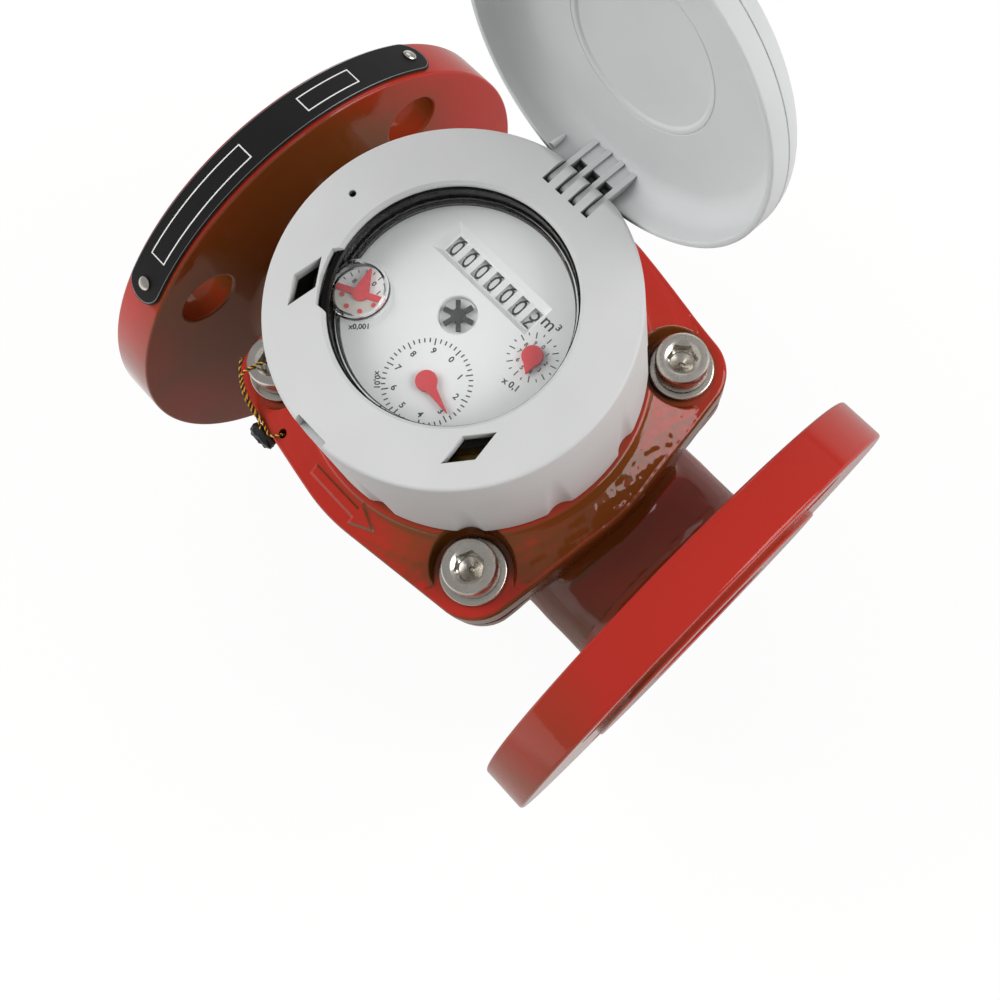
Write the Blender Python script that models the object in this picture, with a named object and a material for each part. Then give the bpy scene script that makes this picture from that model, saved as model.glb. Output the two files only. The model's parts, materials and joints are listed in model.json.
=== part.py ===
"""Flanged turbine water meter, DN 50, with a dry register under a hinged lid.

Frame: the origin is on the pipe's centreline, midway between the two flange faces.
+X is the direction of flow, +Y points to the side where the lid is hinged and +Z is up, to the dial.
The lid stands open at rest, leaning back on its stop, as it is shown.

Rough build-up, from the water outwards and upwards:
  pipe body with two flanges and a round chamber, closed by a bolted cover plate;
  a measuring insert in the chamber, with a straightener, a helical rotor and a worm drive;
  a sealed register on the cover with a dial, number drums and pointers behind glass;
  a plastic shroud round the register, with the lid hinged to it.
"""

import math

import bmesh
import bpy
from mathutils import Matrix, Vector

MM = 0.001
GAP = 0.3 * MM

# Pipe body
FACE_TO_FACE = 200.0 * MM
BORE_RADIUS = 25.0 * MM
FLANGE_RADIUS = 82.5 * MM
FLANGE_THICKNESS = 16.0 * MM
FLANGE_ROUNDING = 2.0 * MM
RAISED_FACE_MARGIN = 3.5 * MM
RAISED_FACE_HEIGHT = 3.0 * MM
BOLT_EDGE_DISTANCE = 20.0 * MM
BOLT_HOLE_RADIUS = 9.5 * MM
BOLT_HOLE_COUNT = 4
SPOT_FACE_MARGIN = 3.5 * MM
SPOT_FACE_DEPTH = 0.8 * MM
PIPE_RADIUS = 36.1 * MM
NECK_FILLET = 6.0 * MM
HEAD_SEAT_WIDTH = 3.0 * MM
CHAMBER_WALL = 7.0 * MM
CHAMBER_FLOOR = -33.0 * MM
CHAMBER_FLOOR_WALL = 10.0 * MM
BODY_TOP = 38.1 * MM
BODY_FLANGE_THICKNESS = 10.0 * MM
BODY_FLANGE_INSET = 0.6 * MM
CORNER_BOSS_DEPTH = 23.0 * MM

# Cover plate
SHROUD_SCREW_CLEARANCE = 1.811 * MM
COVER_SLOPE_WIDTH = 10.3 * MM
COVER_CORNER_MARGIN = 1.4 * MM
COVER_THICKNESS = 21.4 * MM
COVER_EDGE_ROUNDING = 1.5 * MM
PLATFORM_MARGIN = 1.2 * MM
PLATFORM_STEP = 1.2 * MM
COVER_EDGE_DROP = 7.2 * MM
COVER_CORNER_DROP = 9.8 * MM
SEAT_DROP = 9.5 * MM
POCKET_MARGIN = 2.5 * MM
GASKET_THICKNESS = 1.5 * MM
GASKET_SCREW_MARGIN = 3.811 * MM
GASKET_WIDTH = 10.0 * MM
ARROW_LENGTH = 26.0 * MM
ARROW_SHAFT_WIDTH = 2.9 * MM
ARROW_HEAD_WIDTH = 6.7 * MM
ARROW_HEAD_LENGTH = 7.3 * MM
ARROW_HEIGHT = 0.9 * MM
ARROW_OFFSET_X = 1.8 * MM
ARROW_MARGIN = 3.8 * MM
SEAL_HOLE_PLACE = (-27.2 * MM, -55.8 * MM)
SEAL_HOLE_RADIUS = 1.4 * MM
SEAL_HOLE_DEPTH = 9.0 * MM

# M10 socket head screws and their washers
SCREW_RADIUS = 5.0 * MM
SCREW_LENGTH = 35.0 * MM
SCREW_HEAD_RADIUS = 8.0 * MM
SCREW_HEAD_HEIGHT = 10.0 * MM
SOCKET_ACROSS_FLATS = 8.0 * MM
SOCKET_DEPTH = 5.0 * MM
SOCKET_CHAMFER_RADIUS = 5.15 * MM
WASHER_RADIUS = 10.0 * MM
WASHER_THICKNESS = 2.0 * MM

# Measuring insert
HEAD_FLANGE_MARGIN = 1.0 * MM
HEAD_FLANGE_THICKNESS = 5.0 * MM
HEAD_NECK_RADIUS = 29.7 * MM
INSERT_WALL = 4.5 * MM
YOKE_MARGIN = 4.0 * MM
YOKE_BOTTOM = 20.0 * MM
SPIDER_RING_WALL = 1.7 * MM
SPIDER_LENGTH = 8.5 * MM
SPIDER_HUB_RADIUS = 6.0 * MM
INLET_SPIDER_START = -28.0 * MM
OUTLET_SPIDER_START = 23.2 * MM
STRAIGHTENER_VANES = 6
OUTLET_ARMS = 4
VANE_THICKNESS = 1.6 * MM
NOSE_LENGTH = 7.5 * MM
BUSH_RADIUS = 2.6 * MM
BUSH_LENGTH = 4.0 * MM
ROTOR_TIP_CLEARANCE = 0.8 * MM
ROTOR_HUB_RADIUS = 8.0 * MM
ROTOR_HUB_START = -16.5 * MM
ROTOR_HUB_LENGTH = 26.0 * MM
ROTOR_BLADES = 6
ROTOR_BLADE_LENGTH = 23.0 * MM
ROTOR_PITCH = 123.0 * MM
BLADE_THICKNESS = 1.6 * MM
SPINDLE_RADIUS = 1.5 * MM
WORM_RADIUS = 3.4 * MM
WORM_ROOT_RADIUS = 2.3 * MM
WORM_PITCH = 2.5 * MM
WORM_TURNS = 3
WORM_PLACE = 16.0 * MM
WHEEL_TEETH = 14
WHEEL_TIP_RADIUS = 6.3 * MM
WHEEL_ROOT_RADIUS = 4.8 * MM
WHEEL_THICKNESS = 3.2 * MM
MAGNET_RADIUS = 6.0 * MM
MAGNET_HEIGHT = 6.5 * MM
MAGNET_TOP = 54.5 * MM

# Register
CAN_RIM_WIDTH = 2.0 * MM
CAN_WALL = 2.2 * MM
CAN_RIM_HEIGHT = 4.7 * MM
CAN_HEIGHT = 40.8 * MM
DIAL_INSET = 0.4 * MM
DIAL_THICKNESS = 2.4 * MM
DRUM_COUNT = 7
DRUM_PITCH = 4.9 * MM
DRUM_RADIUS = 7.4 * MM
DRUM_AXLE_RADIUS = 1.5 * MM
DRUM_ROW_Y = 13.4 * MM
DRUM_ROW_X = -0.6 * MM
DRUM_DEPTH = 3.1 * MM
DRUM_SLOT_WIDTH = 3.0 * MM
DRUM_SLOT_HEIGHT = 5.4 * MM
RECESS_MARGIN = 2.4 * MM
RECESS_DEPTH = 1.6 * MM
STAR_RADIUS = 4.3 * MM
STAR_OPENING_RADIUS = 5.3 * MM
STAR_ARMS = 6
STAR_THICKNESS = 1.0 * MM
POINTER_HUB_RADIUS = 2.9 * MM
POINTER_THICKNESS = 1.1 * MM
POINTER_LIFT = 0.5 * MM
STEM_RADIUS = 0.8 * MM
POINTER_HUNDREDTH_INSET = 11.7676 * MM
POINTER_HUNDREDTH_BEARING = -66.6504
POINTER_HUNDREDTH_REACH = 10.3 * MM
POINTER_HUNDREDTH_ANGLE = -12.0
POINTER_TENTH_INSET = 8.3676 * MM
POINTER_TENTH_BEARING = 14.3936
POINTER_TENTH_REACH = 5.1 * MM
POINTER_TENTH_ANGLE = -64.0
PORT_INSET = 5.3514 * MM
PORT_BEARING = -146.6115
PORT_RADIUS = 8.4 * MM
PORT_WALL = 0.9 * MM
PORT_POINTER_RADIUS = 6.6 * MM
PORT_POINTER_ANGLE = 116.0
GASKET_LIP_REACH = 0.5 * MM
GASKET_LIP_HEIGHT = 1.2 * MM
GLASS_RADIUS = 32.1 * MM
GLASS_THICKNESS = 3.0 * MM
SEALING_RING_WALL = 5.9 * MM

# Shroud
SHROUD_ROOM = 6.8 * MM
SHROUD_TAPER = 1.6 * MM
SHROUD_HEADROOM = 11.7 * MM
SHROUD_WALL = 2.6 * MM
SHROUD_TOP_THICKNESS = 4.0 * MM
SHROUD_EDGE_ROUNDING = 0.9 * MM
WINDOW_BEVEL = 2.1 * MM
WINDOW_NOTCH_DEPTH = 2.8 * MM
WINDOW_NOTCH_ANGLES = (196.5, 200.5, 226.0, 231.0)
SCALLOP_COUNT = 12
SCALLOP_START_ANGLE = 15.0
SCALLOP_DEPTH = 1.6 * MM
SCALLOP_RADIUS = 6.3 * MM
SCALLOP_HEIGHT = 31.0 * MM
RHOMBUS_DEPTH = 2.5 * MM
RHOMBUS_TIPS = ((33.3 * MM, -15.7 * MM), (29.3 * MM, -30.8 * MM))
RHOMBUS_HALF_WIDTH = 3.35 * MM
SENSOR_HOLE_INSET = 8.3560 * MM
SENSOR_HOLE_BEARING = 177.3467
SENSOR_HOLE_RADIUS = 1.0 * MM
EDGE_NOTCH_WIDTH = 10.0 * MM
EDGE_NOTCH_DEPTH = 1.2 * MM
EDGE_NOTCH_HEIGHT = 6.0 * MM

# Lid and its hinge
LID_OPEN_ANGLE = 100.5
HINGE_INSET = 3.96 * MM
HINGE_DROP = 3.3 * MM
HINGE_PITCH = 4.76 * MM
HINGE_RIBS = 4
RIB_WIDTH = 1.7 * MM
RIB_RADIUS = 4.4 * MM
PIN_RADIUS = 1.2 * MM
PIN_LENGTH = 20.0 * MM
HINGE_BLOCK_DEPTH = 9.4 * MM
STOP_FLAT_INSET = 1.4 * MM
HINGE_RELIEF_HALF_WIDTH = 18.0 * MM
SLOT_MARGIN = 0.9 * MM
LID_DEPTH = 11.1 * MM
LID_WALL = 1.8 * MM
LID_BEND = 7.0 * MM
LID_DISH_RADIUS = 22.1 * MM
LID_DISH_DEPTH = 0.7 * MM
WEB_INSET = 3.5 * MM
LID_WINDOW_HEIGHT = 1.6 * MM
SNAP_NUB_ANGLE = 72.0
SNAP_NUB_RADIUS = 1.0 * MM
SNAP_NUB_HEIGHT = 5.6 * MM

# Nameplate on the inlet flange's rim
PLATE_WIDTH = 11.0 * MM
PLATE_THICKNESS = 0.8 * MM
PLATE_HALF_ANGLE = 45.6
PLATE_CENTRE_X = -89.5 * MM
RIVET_HALF_ANGLE = 41.0
RIVET_HEAD_RADIUS = 2.2 * MM
RIVET_HEAD_HEIGHT = 1.0 * MM
RIVET_SHANK_RADIUS = 1.2 * MM
RIVET_SHANK_LENGTH = 5.0 * MM

# Sealing wire and its crimped seal
WIRE_RADIUS = 0.55 * MM
WIRE_ROUTE = (
    (-43.6, -44.0, 60.2),
    (-43.9, -45.0, 64.3),
    (-44.4, -46.6, 65.7),
    (-45.2, -50.2, 65.7),
    (-46.0, -52.8, 65.0),
    (-46.4, -54.9, 61.6),
    (-46.0, -57.2, 56.8),
    (-44.6, -59.2, 53.2),
    (-42.2, -60.3, 50.8),
    (-38.6, -60.7, 49.8),
    (-33.6, -60.7, 49.8),
    (-29.0, -60.7, 49.8),
    (-27.2, -60.5, 52.8),
    (-27.0, -58.6, 56.2),
    (-27.2, -56.3, 56.0),
    (-27.2, -55.8, 52.6),
)
WIRE_SAMPLES = 24
SEAL_RADIUS = 4.0 * MM
SEAL_THICKNESS = 3.2 * MM
SEAL_DROP = 1.9 * MM

# Facets round a circle
COARSE_COUNT = 8
ROUND_COUNT = 16
MEDIUM_COUNT = 24
LARGE_COUNT = 32
WIDE_COUNT = 44


def on_circle(radius, degrees):
    """Point (x, y) at a radius and a bearing from +X."""
    return (radius * math.cos(math.radians(degrees)), radius * math.sin(math.radians(degrees)))


# Sizes that follow from the ones above
SEALING_RING_RADIUS = GLASS_RADIUS + SEALING_RING_WALL
CAN_RADIUS = SEALING_RING_RADIUS + CAN_RIM_WIDTH
DIAL_RADIUS = GLASS_RADIUS - DIAL_INSET
GASKET_LIP_RADIUS = DIAL_RADIUS - GASKET_LIP_REACH
POINTER_HUNDREDTH_PLACE = on_circle(DIAL_RADIUS - POINTER_HUNDREDTH_INSET, POINTER_HUNDREDTH_BEARING)
POINTER_TENTH_PLACE = on_circle(DIAL_RADIUS - POINTER_TENTH_INSET, POINTER_TENTH_BEARING)
PORT_PLACE = on_circle(DIAL_RADIUS - PORT_INSET, PORT_BEARING)
SHROUD_TOP_RADIUS = CAN_RADIUS + SHROUD_ROOM + SHROUD_WALL
SHROUD_BASE_RADIUS = SHROUD_TOP_RADIUS + SHROUD_TAPER
SHROUD_HEIGHT = CAN_HEIGHT + SHROUD_HEADROOM
WINDOW_RADIUS = GLASS_RADIUS + GAP
WINDOW_NOTCH_RADIUS = WINDOW_RADIUS + WINDOW_NOTCH_DEPTH
SENSOR_HOLE_PLACE = on_circle(SHROUD_TOP_RADIUS - SENSOR_HOLE_INSET, SENSOR_HOLE_BEARING)
BOLT_CIRCLE_RADIUS = FLANGE_RADIUS - BOLT_EDGE_DISTANCE
RAISED_FACE_RADIUS = BOLT_CIRCLE_RADIUS - BOLT_HOLE_RADIUS - RAISED_FACE_MARGIN
PLATFORM_RADIUS = SHROUD_BASE_RADIUS + PLATFORM_MARGIN
SCREW_CIRCLE_RADIUS = SHROUD_BASE_RADIUS + SHROUD_SCREW_CLEARANCE + SCREW_HEAD_RADIUS
SCREW_SQUARE = SCREW_CIRCLE_RADIUS / math.sqrt(2.0)
POCKET_RADIUS = WASHER_RADIUS + POCKET_MARGIN
COVER_DISC_RADIUS = PLATFORM_RADIUS + COVER_SLOPE_WIDTH
COVER_CORNER_RADIUS = POCKET_RADIUS + COVER_CORNER_MARGIN
GASKET_OUTER_RADIUS = SCREW_CIRCLE_RADIUS - SCREW_RADIUS - GASKET_SCREW_MARGIN
GASKET_INNER_RADIUS = GASKET_OUTER_RADIUS - GASKET_WIDTH
HEAD_FLANGE_RADIUS = GASKET_INNER_RADIUS - HEAD_FLANGE_MARGIN
CHAMBER_RADIUS = HEAD_FLANGE_RADIUS - HEAD_SEAT_WIDTH
YOKE_RADIUS = CHAMBER_RADIUS - YOKE_MARGIN
ARROW_RADIAL_PLACE = PLATFORM_RADIUS + ARROW_MARGIN
LID_RADIUS = SHROUD_TOP_RADIUS
LID_SKIRT_RADIUS = LID_RADIUS - LID_WALL
WEB_Y = LID_SKIRT_RADIUS - WEB_INSET
HINGE_Y = SHROUD_TOP_RADIUS - HINGE_INSET
STOP_FLAT_Y = SHROUD_TOP_RADIUS - STOP_FLAT_INSET

# Heights that stack up from the parts above
COVER_BOTTOM = BODY_TOP + GASKET_THICKNESS + 2 * GAP
COVER_TOP = COVER_BOTTOM + COVER_THICKNESS
SEAT_Z = COVER_TOP - SEAT_DROP
WASHER_BOTTOM = SEAT_Z + GAP
HEAD_BOTTOM = WASHER_BOTTOM + WASHER_THICKNESS + GAP
INSERT_TUBE_RADIUS = BORE_RADIUS + INSERT_WALL
HEAD_FLANGE_BOTTOM = BODY_TOP + GAP
SHAFT_Y = WORM_RADIUS + WHEEL_TIP_RADIUS + GAP
CAN_BOTTOM = COVER_TOP + GAP
CAN_TOP = CAN_BOTTOM + CAN_HEIGHT
DIAL_TOP = CAN_TOP - GAP
DIAL_BOTTOM = DIAL_TOP - DIAL_THICKNESS
SEALING_BOTTOM = CAN_TOP + GAP
GLASS_BOTTOM = SEALING_BOTTOM + GASKET_LIP_HEIGHT + GAP
GLASS_TOP = GLASS_BOTTOM + GLASS_THICKNESS
SHROUD_BOTTOM = COVER_TOP + GAP
SHROUD_TOP = SHROUD_BOTTOM + SHROUD_HEIGHT
SHROUD_UNDERSIDE = SHROUD_TOP - SHROUD_TOP_THICKNESS
PORT_TOP = SHROUD_UNDERSIDE - GAP
HINGE_Z = SHROUD_TOP - HINGE_DROP
LID_RIM_Z = SHROUD_TOP + GAP
LID_INNER_Z = LID_RIM_Z + LID_DEPTH
DRUM_AXIS_Z = DIAL_TOP - DRUM_DEPTH - DRUM_RADIUS
DRUM_ROW_LENGTH = DRUM_PITCH * (DRUM_COUNT - 1) + DRUM_SLOT_WIDTH


def clear_scene():
    """Remove whatever the file holds, so that the model stands alone."""
    for item in list(bpy.data.objects):
        bpy.data.objects.remove(item, do_unlink=True)


def material(name, colour, roughness, metallic=0.0, alpha=1.0):
    """A plain Principled material in the part's own colour."""
    made = bpy.data.materials.new(name)
    made.use_nodes = True
    shader = made.node_tree.nodes["Principled BSDF"]
    shader.inputs["Base Color"].default_value = (*colour, 1.0)
    shader.inputs["Roughness"].default_value = roughness
    shader.inputs["Metallic"].default_value = metallic
    shader.inputs["Alpha"].default_value = alpha
    made.diffuse_color = (*colour, alpha)
    return made


def circle(radius, steps, centre=(0.0, 0.0), start=0.0):
    """Points of a circle as (x, y) pairs."""
    turn = 2 * math.pi / steps
    return [
        (centre[0] + radius * math.cos(start + turn * i), centre[1] + radius * math.sin(start + turn * i))
        for i in range(steps)
    ]


def arc(centre, radius, first, last, steps):
    """Points of an arc between two angles in degrees, both ends included."""
    angles = [math.radians(first + (last - first) * i / steps) for i in range(steps + 1)]
    return [(centre[0] + radius * math.cos(a), centre[1] + radius * math.sin(a)) for a in angles]


def skin(name, rings, looped=False, split=False):
    """Join rings of equal point count with quads; cap both ends, or close the last ring on the first.

    Quads that aren't flat are split into triangles, so that later cuts through them stay clean.
    """
    shape = bmesh.new()
    rows = [[shape.verts.new(point) for point in ring] for ring in rings]
    pairs = list(zip(rows, rows[1:]))
    if looped:
        pairs.append((rows[-1], rows[0]))
    for lower, upper in pairs:
        count = len(lower)
        for i in range(count):
            j = (i + 1) % count
            shape.faces.new((lower[i], lower[j], upper[j], upper[i]))
    if not looped:
        shape.faces.new(reversed(rows[0]))
        shape.faces.new(rows[-1])
    if split:
        bmesh.ops.triangulate(shape, faces=[face for face in shape.faces if len(face.verts) == 4])
    bmesh.ops.recalc_face_normals(shape, faces=shape.faces)
    mesh = bpy.data.meshes.new(name)
    shape.to_mesh(mesh)
    shape.free()
    made = bpy.data.objects.new(name, mesh)
    bpy.context.collection.objects.link(made)
    return made


def turned(name, profile, steps, axis="Z", centre=(0.0, 0.0, 0.0), looped=False, start=0.0):
    """Revolve (radius, height) points about an axis through centre; looped profiles make hollow rings."""
    rings = []
    for radius, height in profile:
        ring = []
        for x, y in circle(radius, steps, start=start):
            point = (height, x, y) if axis == "X" else (x, y, height)
            if axis == "Y":
                point = (y, height, x)
            ring.append(Vector(point) + Vector(centre))
        rings.append(ring)
    return skin(name, rings, looped)


def rod(name, radius, bottom, top, steps, axis="Z", centre=(0.0, 0.0, 0.0)):
    """A plain cylinder between two heights along an axis."""
    return turned(name, [(radius, bottom), (radius, top)], steps, axis, centre)


def prism(name, outline, bottom, top, plane="XY"):
    """Extrude a closed outline between two heights, square to its plane."""
    rings = []
    for height in (bottom, top):
        if plane == "YZ":
            rings.append([(height, a, b) for a, b in outline])
        else:
            rings.append([(a, b, height) for a, b in outline])
    return skin(name, rings)


def box(name, low, high):
    """A block between two opposite corners."""
    outline = [(low[0], low[1]), (high[0], low[1]), (high[0], high[1]), (low[0], high[1])]
    return prism(name, outline, low[2], high[2])


def transform(item, matrix):
    """Move an object's mesh, leaving the object's own placement alone."""
    item.data.transform(matrix)
    item.data.update()
    return item


def combine(target, others, operation):
    """Apply Boolean steps one after another and drop the tools."""
    for other in others:
        step = target.modifiers.new(operation.lower(), "BOOLEAN")
        step.operation = operation
        step.solver = "EXACT"
        step.object = other
        graph = bpy.context.evaluated_depsgraph_get()
        result = bpy.data.meshes.new_from_object(target.evaluated_get(graph))
        target.modifiers.remove(step)
        target.data = result
        bpy.data.objects.remove(other, do_unlink=True)
    return target


def cut(target, *tools):
    """Take the tools' shapes out of a solid."""
    return combine(target, tools, "DIFFERENCE")


def add(target, *tools):
    """Join the tools' shapes to a solid."""
    return combine(target, tools, "UNION")


def keep_inside(target, *tools):
    """Keep only what lies inside the tools' shapes."""
    return combine(target, tools, "INTERSECT")


def tidy_mesh(item):
    """Merge stray points and flatten coplanar facets that Boolean steps leave."""
    shape = bmesh.new()
    shape.from_mesh(item.data)
    bmesh.ops.remove_doubles(shape, verts=shape.verts, dist=0.002 * MM)
    bmesh.ops.dissolve_degenerate(shape, edges=shape.edges, dist=0.002 * MM)
    many = [face for face in shape.faces if len(face.verts) > 4]
    bmesh.ops.triangulate(shape, faces=many, quad_method="BEAUTY", ngon_method="EAR_CLIP")
    shape.to_mesh(item.data)
    shape.free()


def finish(item, look, origin=(0.0, 0.0, 0.0)):
    """Give a finished piece its name, material, origin and shading."""
    tidy_mesh(item)
    item.data.name = item.name
    item.data.materials.clear()
    item.data.materials.append(look)
    item.data.transform(Matrix.Translation(-Vector(origin)))
    item.location = origin
    item.data.shade_smooth()
    item.data.set_sharp_from_angle(angle=math.radians(32))
    return item


def square_corners():
    """The four screw places on the cover's square pattern."""
    return [(sx * SCREW_SQUARE, sy * SCREW_SQUARE) for sx, sy in ((-1, -1), (1, -1), (1, 1), (-1, 1))]


def cover_outline(inset=0.0):
    """Outline of the cover: a disc and four corner circles with their common tangents.

    The tangent's normal leaves the diagonal by acos((R - r) / d), where R and r are the radii of
    the disc and of the corner and d is the distance between their centres.
    """
    disc = COVER_DISC_RADIUS - inset
    corner = COVER_CORNER_RADIUS - inset
    diagonal = SCREW_SQUARE * math.sqrt(2.0)
    spread = math.degrees(math.acos((disc - corner) / diagonal))
    points = []
    for quarter in range(4):
        middle = 45.0 + 90.0 * quarter
        a = math.radians(middle)
        place = (diagonal * math.cos(a), diagonal * math.sin(a))
        side = arc((0.0, 0.0), disc, middle - 90.0 + spread, middle - spread, 2)
        bend = arc(place, corner, middle - spread, middle + spread, 6)
        points += side + between(side[-1], bend[0], 3) + bend
        following = arc((0.0, 0.0), disc, middle + spread, middle + 90.0 - spread, 2)
        points += between(bend[-1], following[0], 3)
    return points


def between(first, last, parts):
    """Points that divide a straight stretch, without its ends."""
    return [
        (first[0] + (last[0] - first[0]) * i / parts, first[1] + (last[1] - first[1]) * i / parts)
        for i in range(1, parts)
    ]


def cover_height(radius):
    """Top surface of the cover: flat platform, a small step, then a slope that flattens at the corners."""
    rim = PLATFORM_RADIUS + PLATFORM_STEP
    if radius <= PLATFORM_RADIUS:
        return COVER_TOP
    if radius <= rim:
        return COVER_TOP - PLATFORM_STEP * (radius - PLATFORM_RADIUS) / PLATFORM_STEP
    start = COVER_TOP - PLATFORM_STEP
    edge = COVER_TOP - COVER_EDGE_DROP
    corner = COVER_TOP - COVER_CORNER_DROP
    if radius <= COVER_DISC_RADIUS:
        share = (radius - rim) / (COVER_DISC_RADIUS - rim)
        return start + (edge - start) * share
    reach = min(1.0, (radius - COVER_DISC_RADIUS) / (COVER_CORNER_RADIUS * 0.6))
    return edge + (corner - edge) * math.sin(reach * math.pi / 2)


def flange_profile():
    """Half profile of pipe and flange as (radius, x), from the outer face inwards to the pipe's middle."""
    face = FACE_TO_FACE / 2
    front = face - RAISED_FACE_HEIGHT
    back = front - FLANGE_THICKNESS
    r = FLANGE_ROUNDING
    points = [(RAISED_FACE_RADIUS, face), (RAISED_FACE_RADIUS, front)]
    points += [(FLANGE_RADIUS - r, front), (FLANGE_RADIUS, front - r), (FLANGE_RADIUS, back + r),
               (FLANGE_RADIUS - r, back)]
    bend = arc((back - NECK_FILLET, PIPE_RADIUS + NECK_FILLET), NECK_FILLET, 0, -90, 2)
    points += [(b, a) for a, b in bend]
    return points


def bolt_angles():
    """Angles of the flange bolt holes, straddling the upright."""
    return [math.radians(360.0 / BOLT_HOLE_COUNT * (i + 0.5)) for i in range(BOLT_HOLE_COUNT)]


def make_meter_body(look):
    """Cast body: flanged pipe, round chamber and the square top flange with its corner bosses."""
    half = flange_profile()
    mirrored = [(r, -x) for r, x in reversed(half)]
    body = turned("meter_body", half + mirrored, LARGE_COUNT, "X")
    outer = CHAMBER_RADIUS + CHAMBER_WALL
    floor = CHAMBER_FLOOR - CHAMBER_FLOOR_WALL
    under_flange = BODY_TOP - BODY_FLANGE_THICKNESS
    bowl_bend = 14.0 * MM
    bowl = [(outer - bowl_bend, floor)]
    bowl += arc((outer - bowl_bend, floor + bowl_bend), bowl_bend, -60, 0, 2)
    bowl += [(outer, under_flange - NECK_FILLET)]
    bowl += arc((outer + NECK_FILLET, under_flange - NECK_FILLET), NECK_FILLET, 150, 90, 2)
    bowl += [(outer + NECK_FILLET, under_flange + NECK_FILLET / 2)]
    add(body, turned("bowl", bowl, MEDIUM_COUNT))
    for x, y in square_corners():
        bottom = BODY_TOP - CORNER_BOSS_DEPTH
        add(body, rod("boss", SCREW_RADIUS * 2.2, bottom, BODY_TOP - 2 * MM, ROUND_COUNT, centre=(x, y, 0.0)))
    add(body, prism("top_flange", cover_outline(BODY_FLANGE_INSET), under_flange, BODY_TOP))
    cut(body, rod("chamber", CHAMBER_RADIUS, CHAMBER_FLOOR, BODY_TOP + 5 * MM, LARGE_COUNT))
    cut(body, rod("bore", BORE_RADIUS, -FACE_TO_FACE, FACE_TO_FACE, MEDIUM_COUNT, "X"))
    back = FACE_TO_FACE / 2 - RAISED_FACE_HEIGHT - FLANGE_THICKNESS
    for side in (-1, 1):
        for a in bolt_angles():
            place = (0.0, BOLT_CIRCLE_RADIUS * math.cos(a), BOLT_CIRCLE_RADIUS * math.sin(a))
            through = sorted((side * (back - 8 * MM), side * (FACE_TO_FACE / 2 + 8 * MM)))
            spot = sorted((side * (back - 8 * MM), side * (back + SPOT_FACE_DEPTH)))
            cut(body, rod("spot", BOLT_HOLE_RADIUS + SPOT_FACE_MARGIN, *spot, ROUND_COUNT, "X", place))
            cut(body, rod("hole", BOLT_HOLE_RADIUS, *through, ROUND_COUNT, "X", place))
    tip = HEAD_BOTTOM - SCREW_LENGTH - GAP
    for x, y in square_corners():
        cut(body, rod("thread", SCREW_RADIUS + GAP, tip - 1 * MM, BODY_TOP + 5 * MM, ROUND_COUNT,
                      centre=(x, y, 0.0)))
    for a in rivet_angles():
        cut(body, rivet_shape("rivet_hole", a, RIVET_SHANK_RADIUS + GAP, RIVET_SHANK_LENGTH + 1 * MM, 0.0))
    return finish(body, look)


def make_cover_gasket(look):
    """Flat ring between the body's top face and the cover, outside the insert's flange."""
    inner = GASKET_INNER_RADIUS
    low = BODY_TOP + GAP
    high = low + GASKET_THICKNESS
    profile = [(inner, low), (GASKET_OUTER_RADIUS, low), (GASKET_OUTER_RADIUS, high), (inner, high)]
    return finish(turned("cover_gasket", profile, MEDIUM_COUNT, looped=True), look)


def cover_rings(outline):
    """Rings of the cover's outer skin, from its underside to the rim of the platform."""
    rings = [[(x, y, COVER_BOTTOM) for x, y in outline]]
    inset = COVER_EDGE_ROUNDING
    for a in (0.0, 90.0):
        turn = math.radians(a)
        ring = []
        for x, y in outline:
            reach = math.hypot(x, y)
            edge = cover_height(reach - inset)
            scale = (reach - inset + inset * math.cos(turn)) / reach
            ring.append((x * scale, y * scale, edge - inset + inset * math.sin(turn)))
        rings.append(ring)
    rim = PLATFORM_RADIUS + PLATFORM_STEP
    for share in (0.45, 0.0):
        ring = []
        for x, y in outline:
            reach = math.hypot(x, y)
            radius = rim + (reach - inset - rim) * share
            ring.append((x / reach * radius, y / reach * radius, cover_height(radius)))
        rings.append(ring)
    rings.append([(x / math.hypot(x, y) * PLATFORM_RADIUS, y / math.hypot(x, y) * PLATFORM_RADIUS, COVER_TOP)
                  for x, y in outline])
    return rings


def flow_arrow():
    """Raised arrow along +X that lies on the cover's sloping margin, on the -Y side."""
    back = -ARROW_LENGTH / 2
    neck = ARROW_LENGTH / 2 - ARROW_HEAD_LENGTH
    shaft = ARROW_SHAFT_WIDTH / 2
    head = ARROW_HEAD_WIDTH / 2
    outline = [
        (back, -shaft), (neck, -shaft), (neck, -head), (ARROW_LENGTH / 2, 0.0),
        (neck, head), (neck, shaft), (back, shaft),
    ]
    arrow = prism("arrow", outline, -3 * MM, ARROW_HEIGHT)
    step = 3 * MM
    rise = cover_height(ARROW_RADIAL_PLACE - step) - cover_height(ARROW_RADIAL_PLACE + step)
    tilt = Matrix.Rotation(math.atan2(rise, 2 * step), 4, "X")
    place = (ARROW_OFFSET_X, -ARROW_RADIAL_PLACE, cover_height(ARROW_RADIAL_PLACE))
    return transform(arrow, Matrix.Translation(place) @ tilt)


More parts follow.
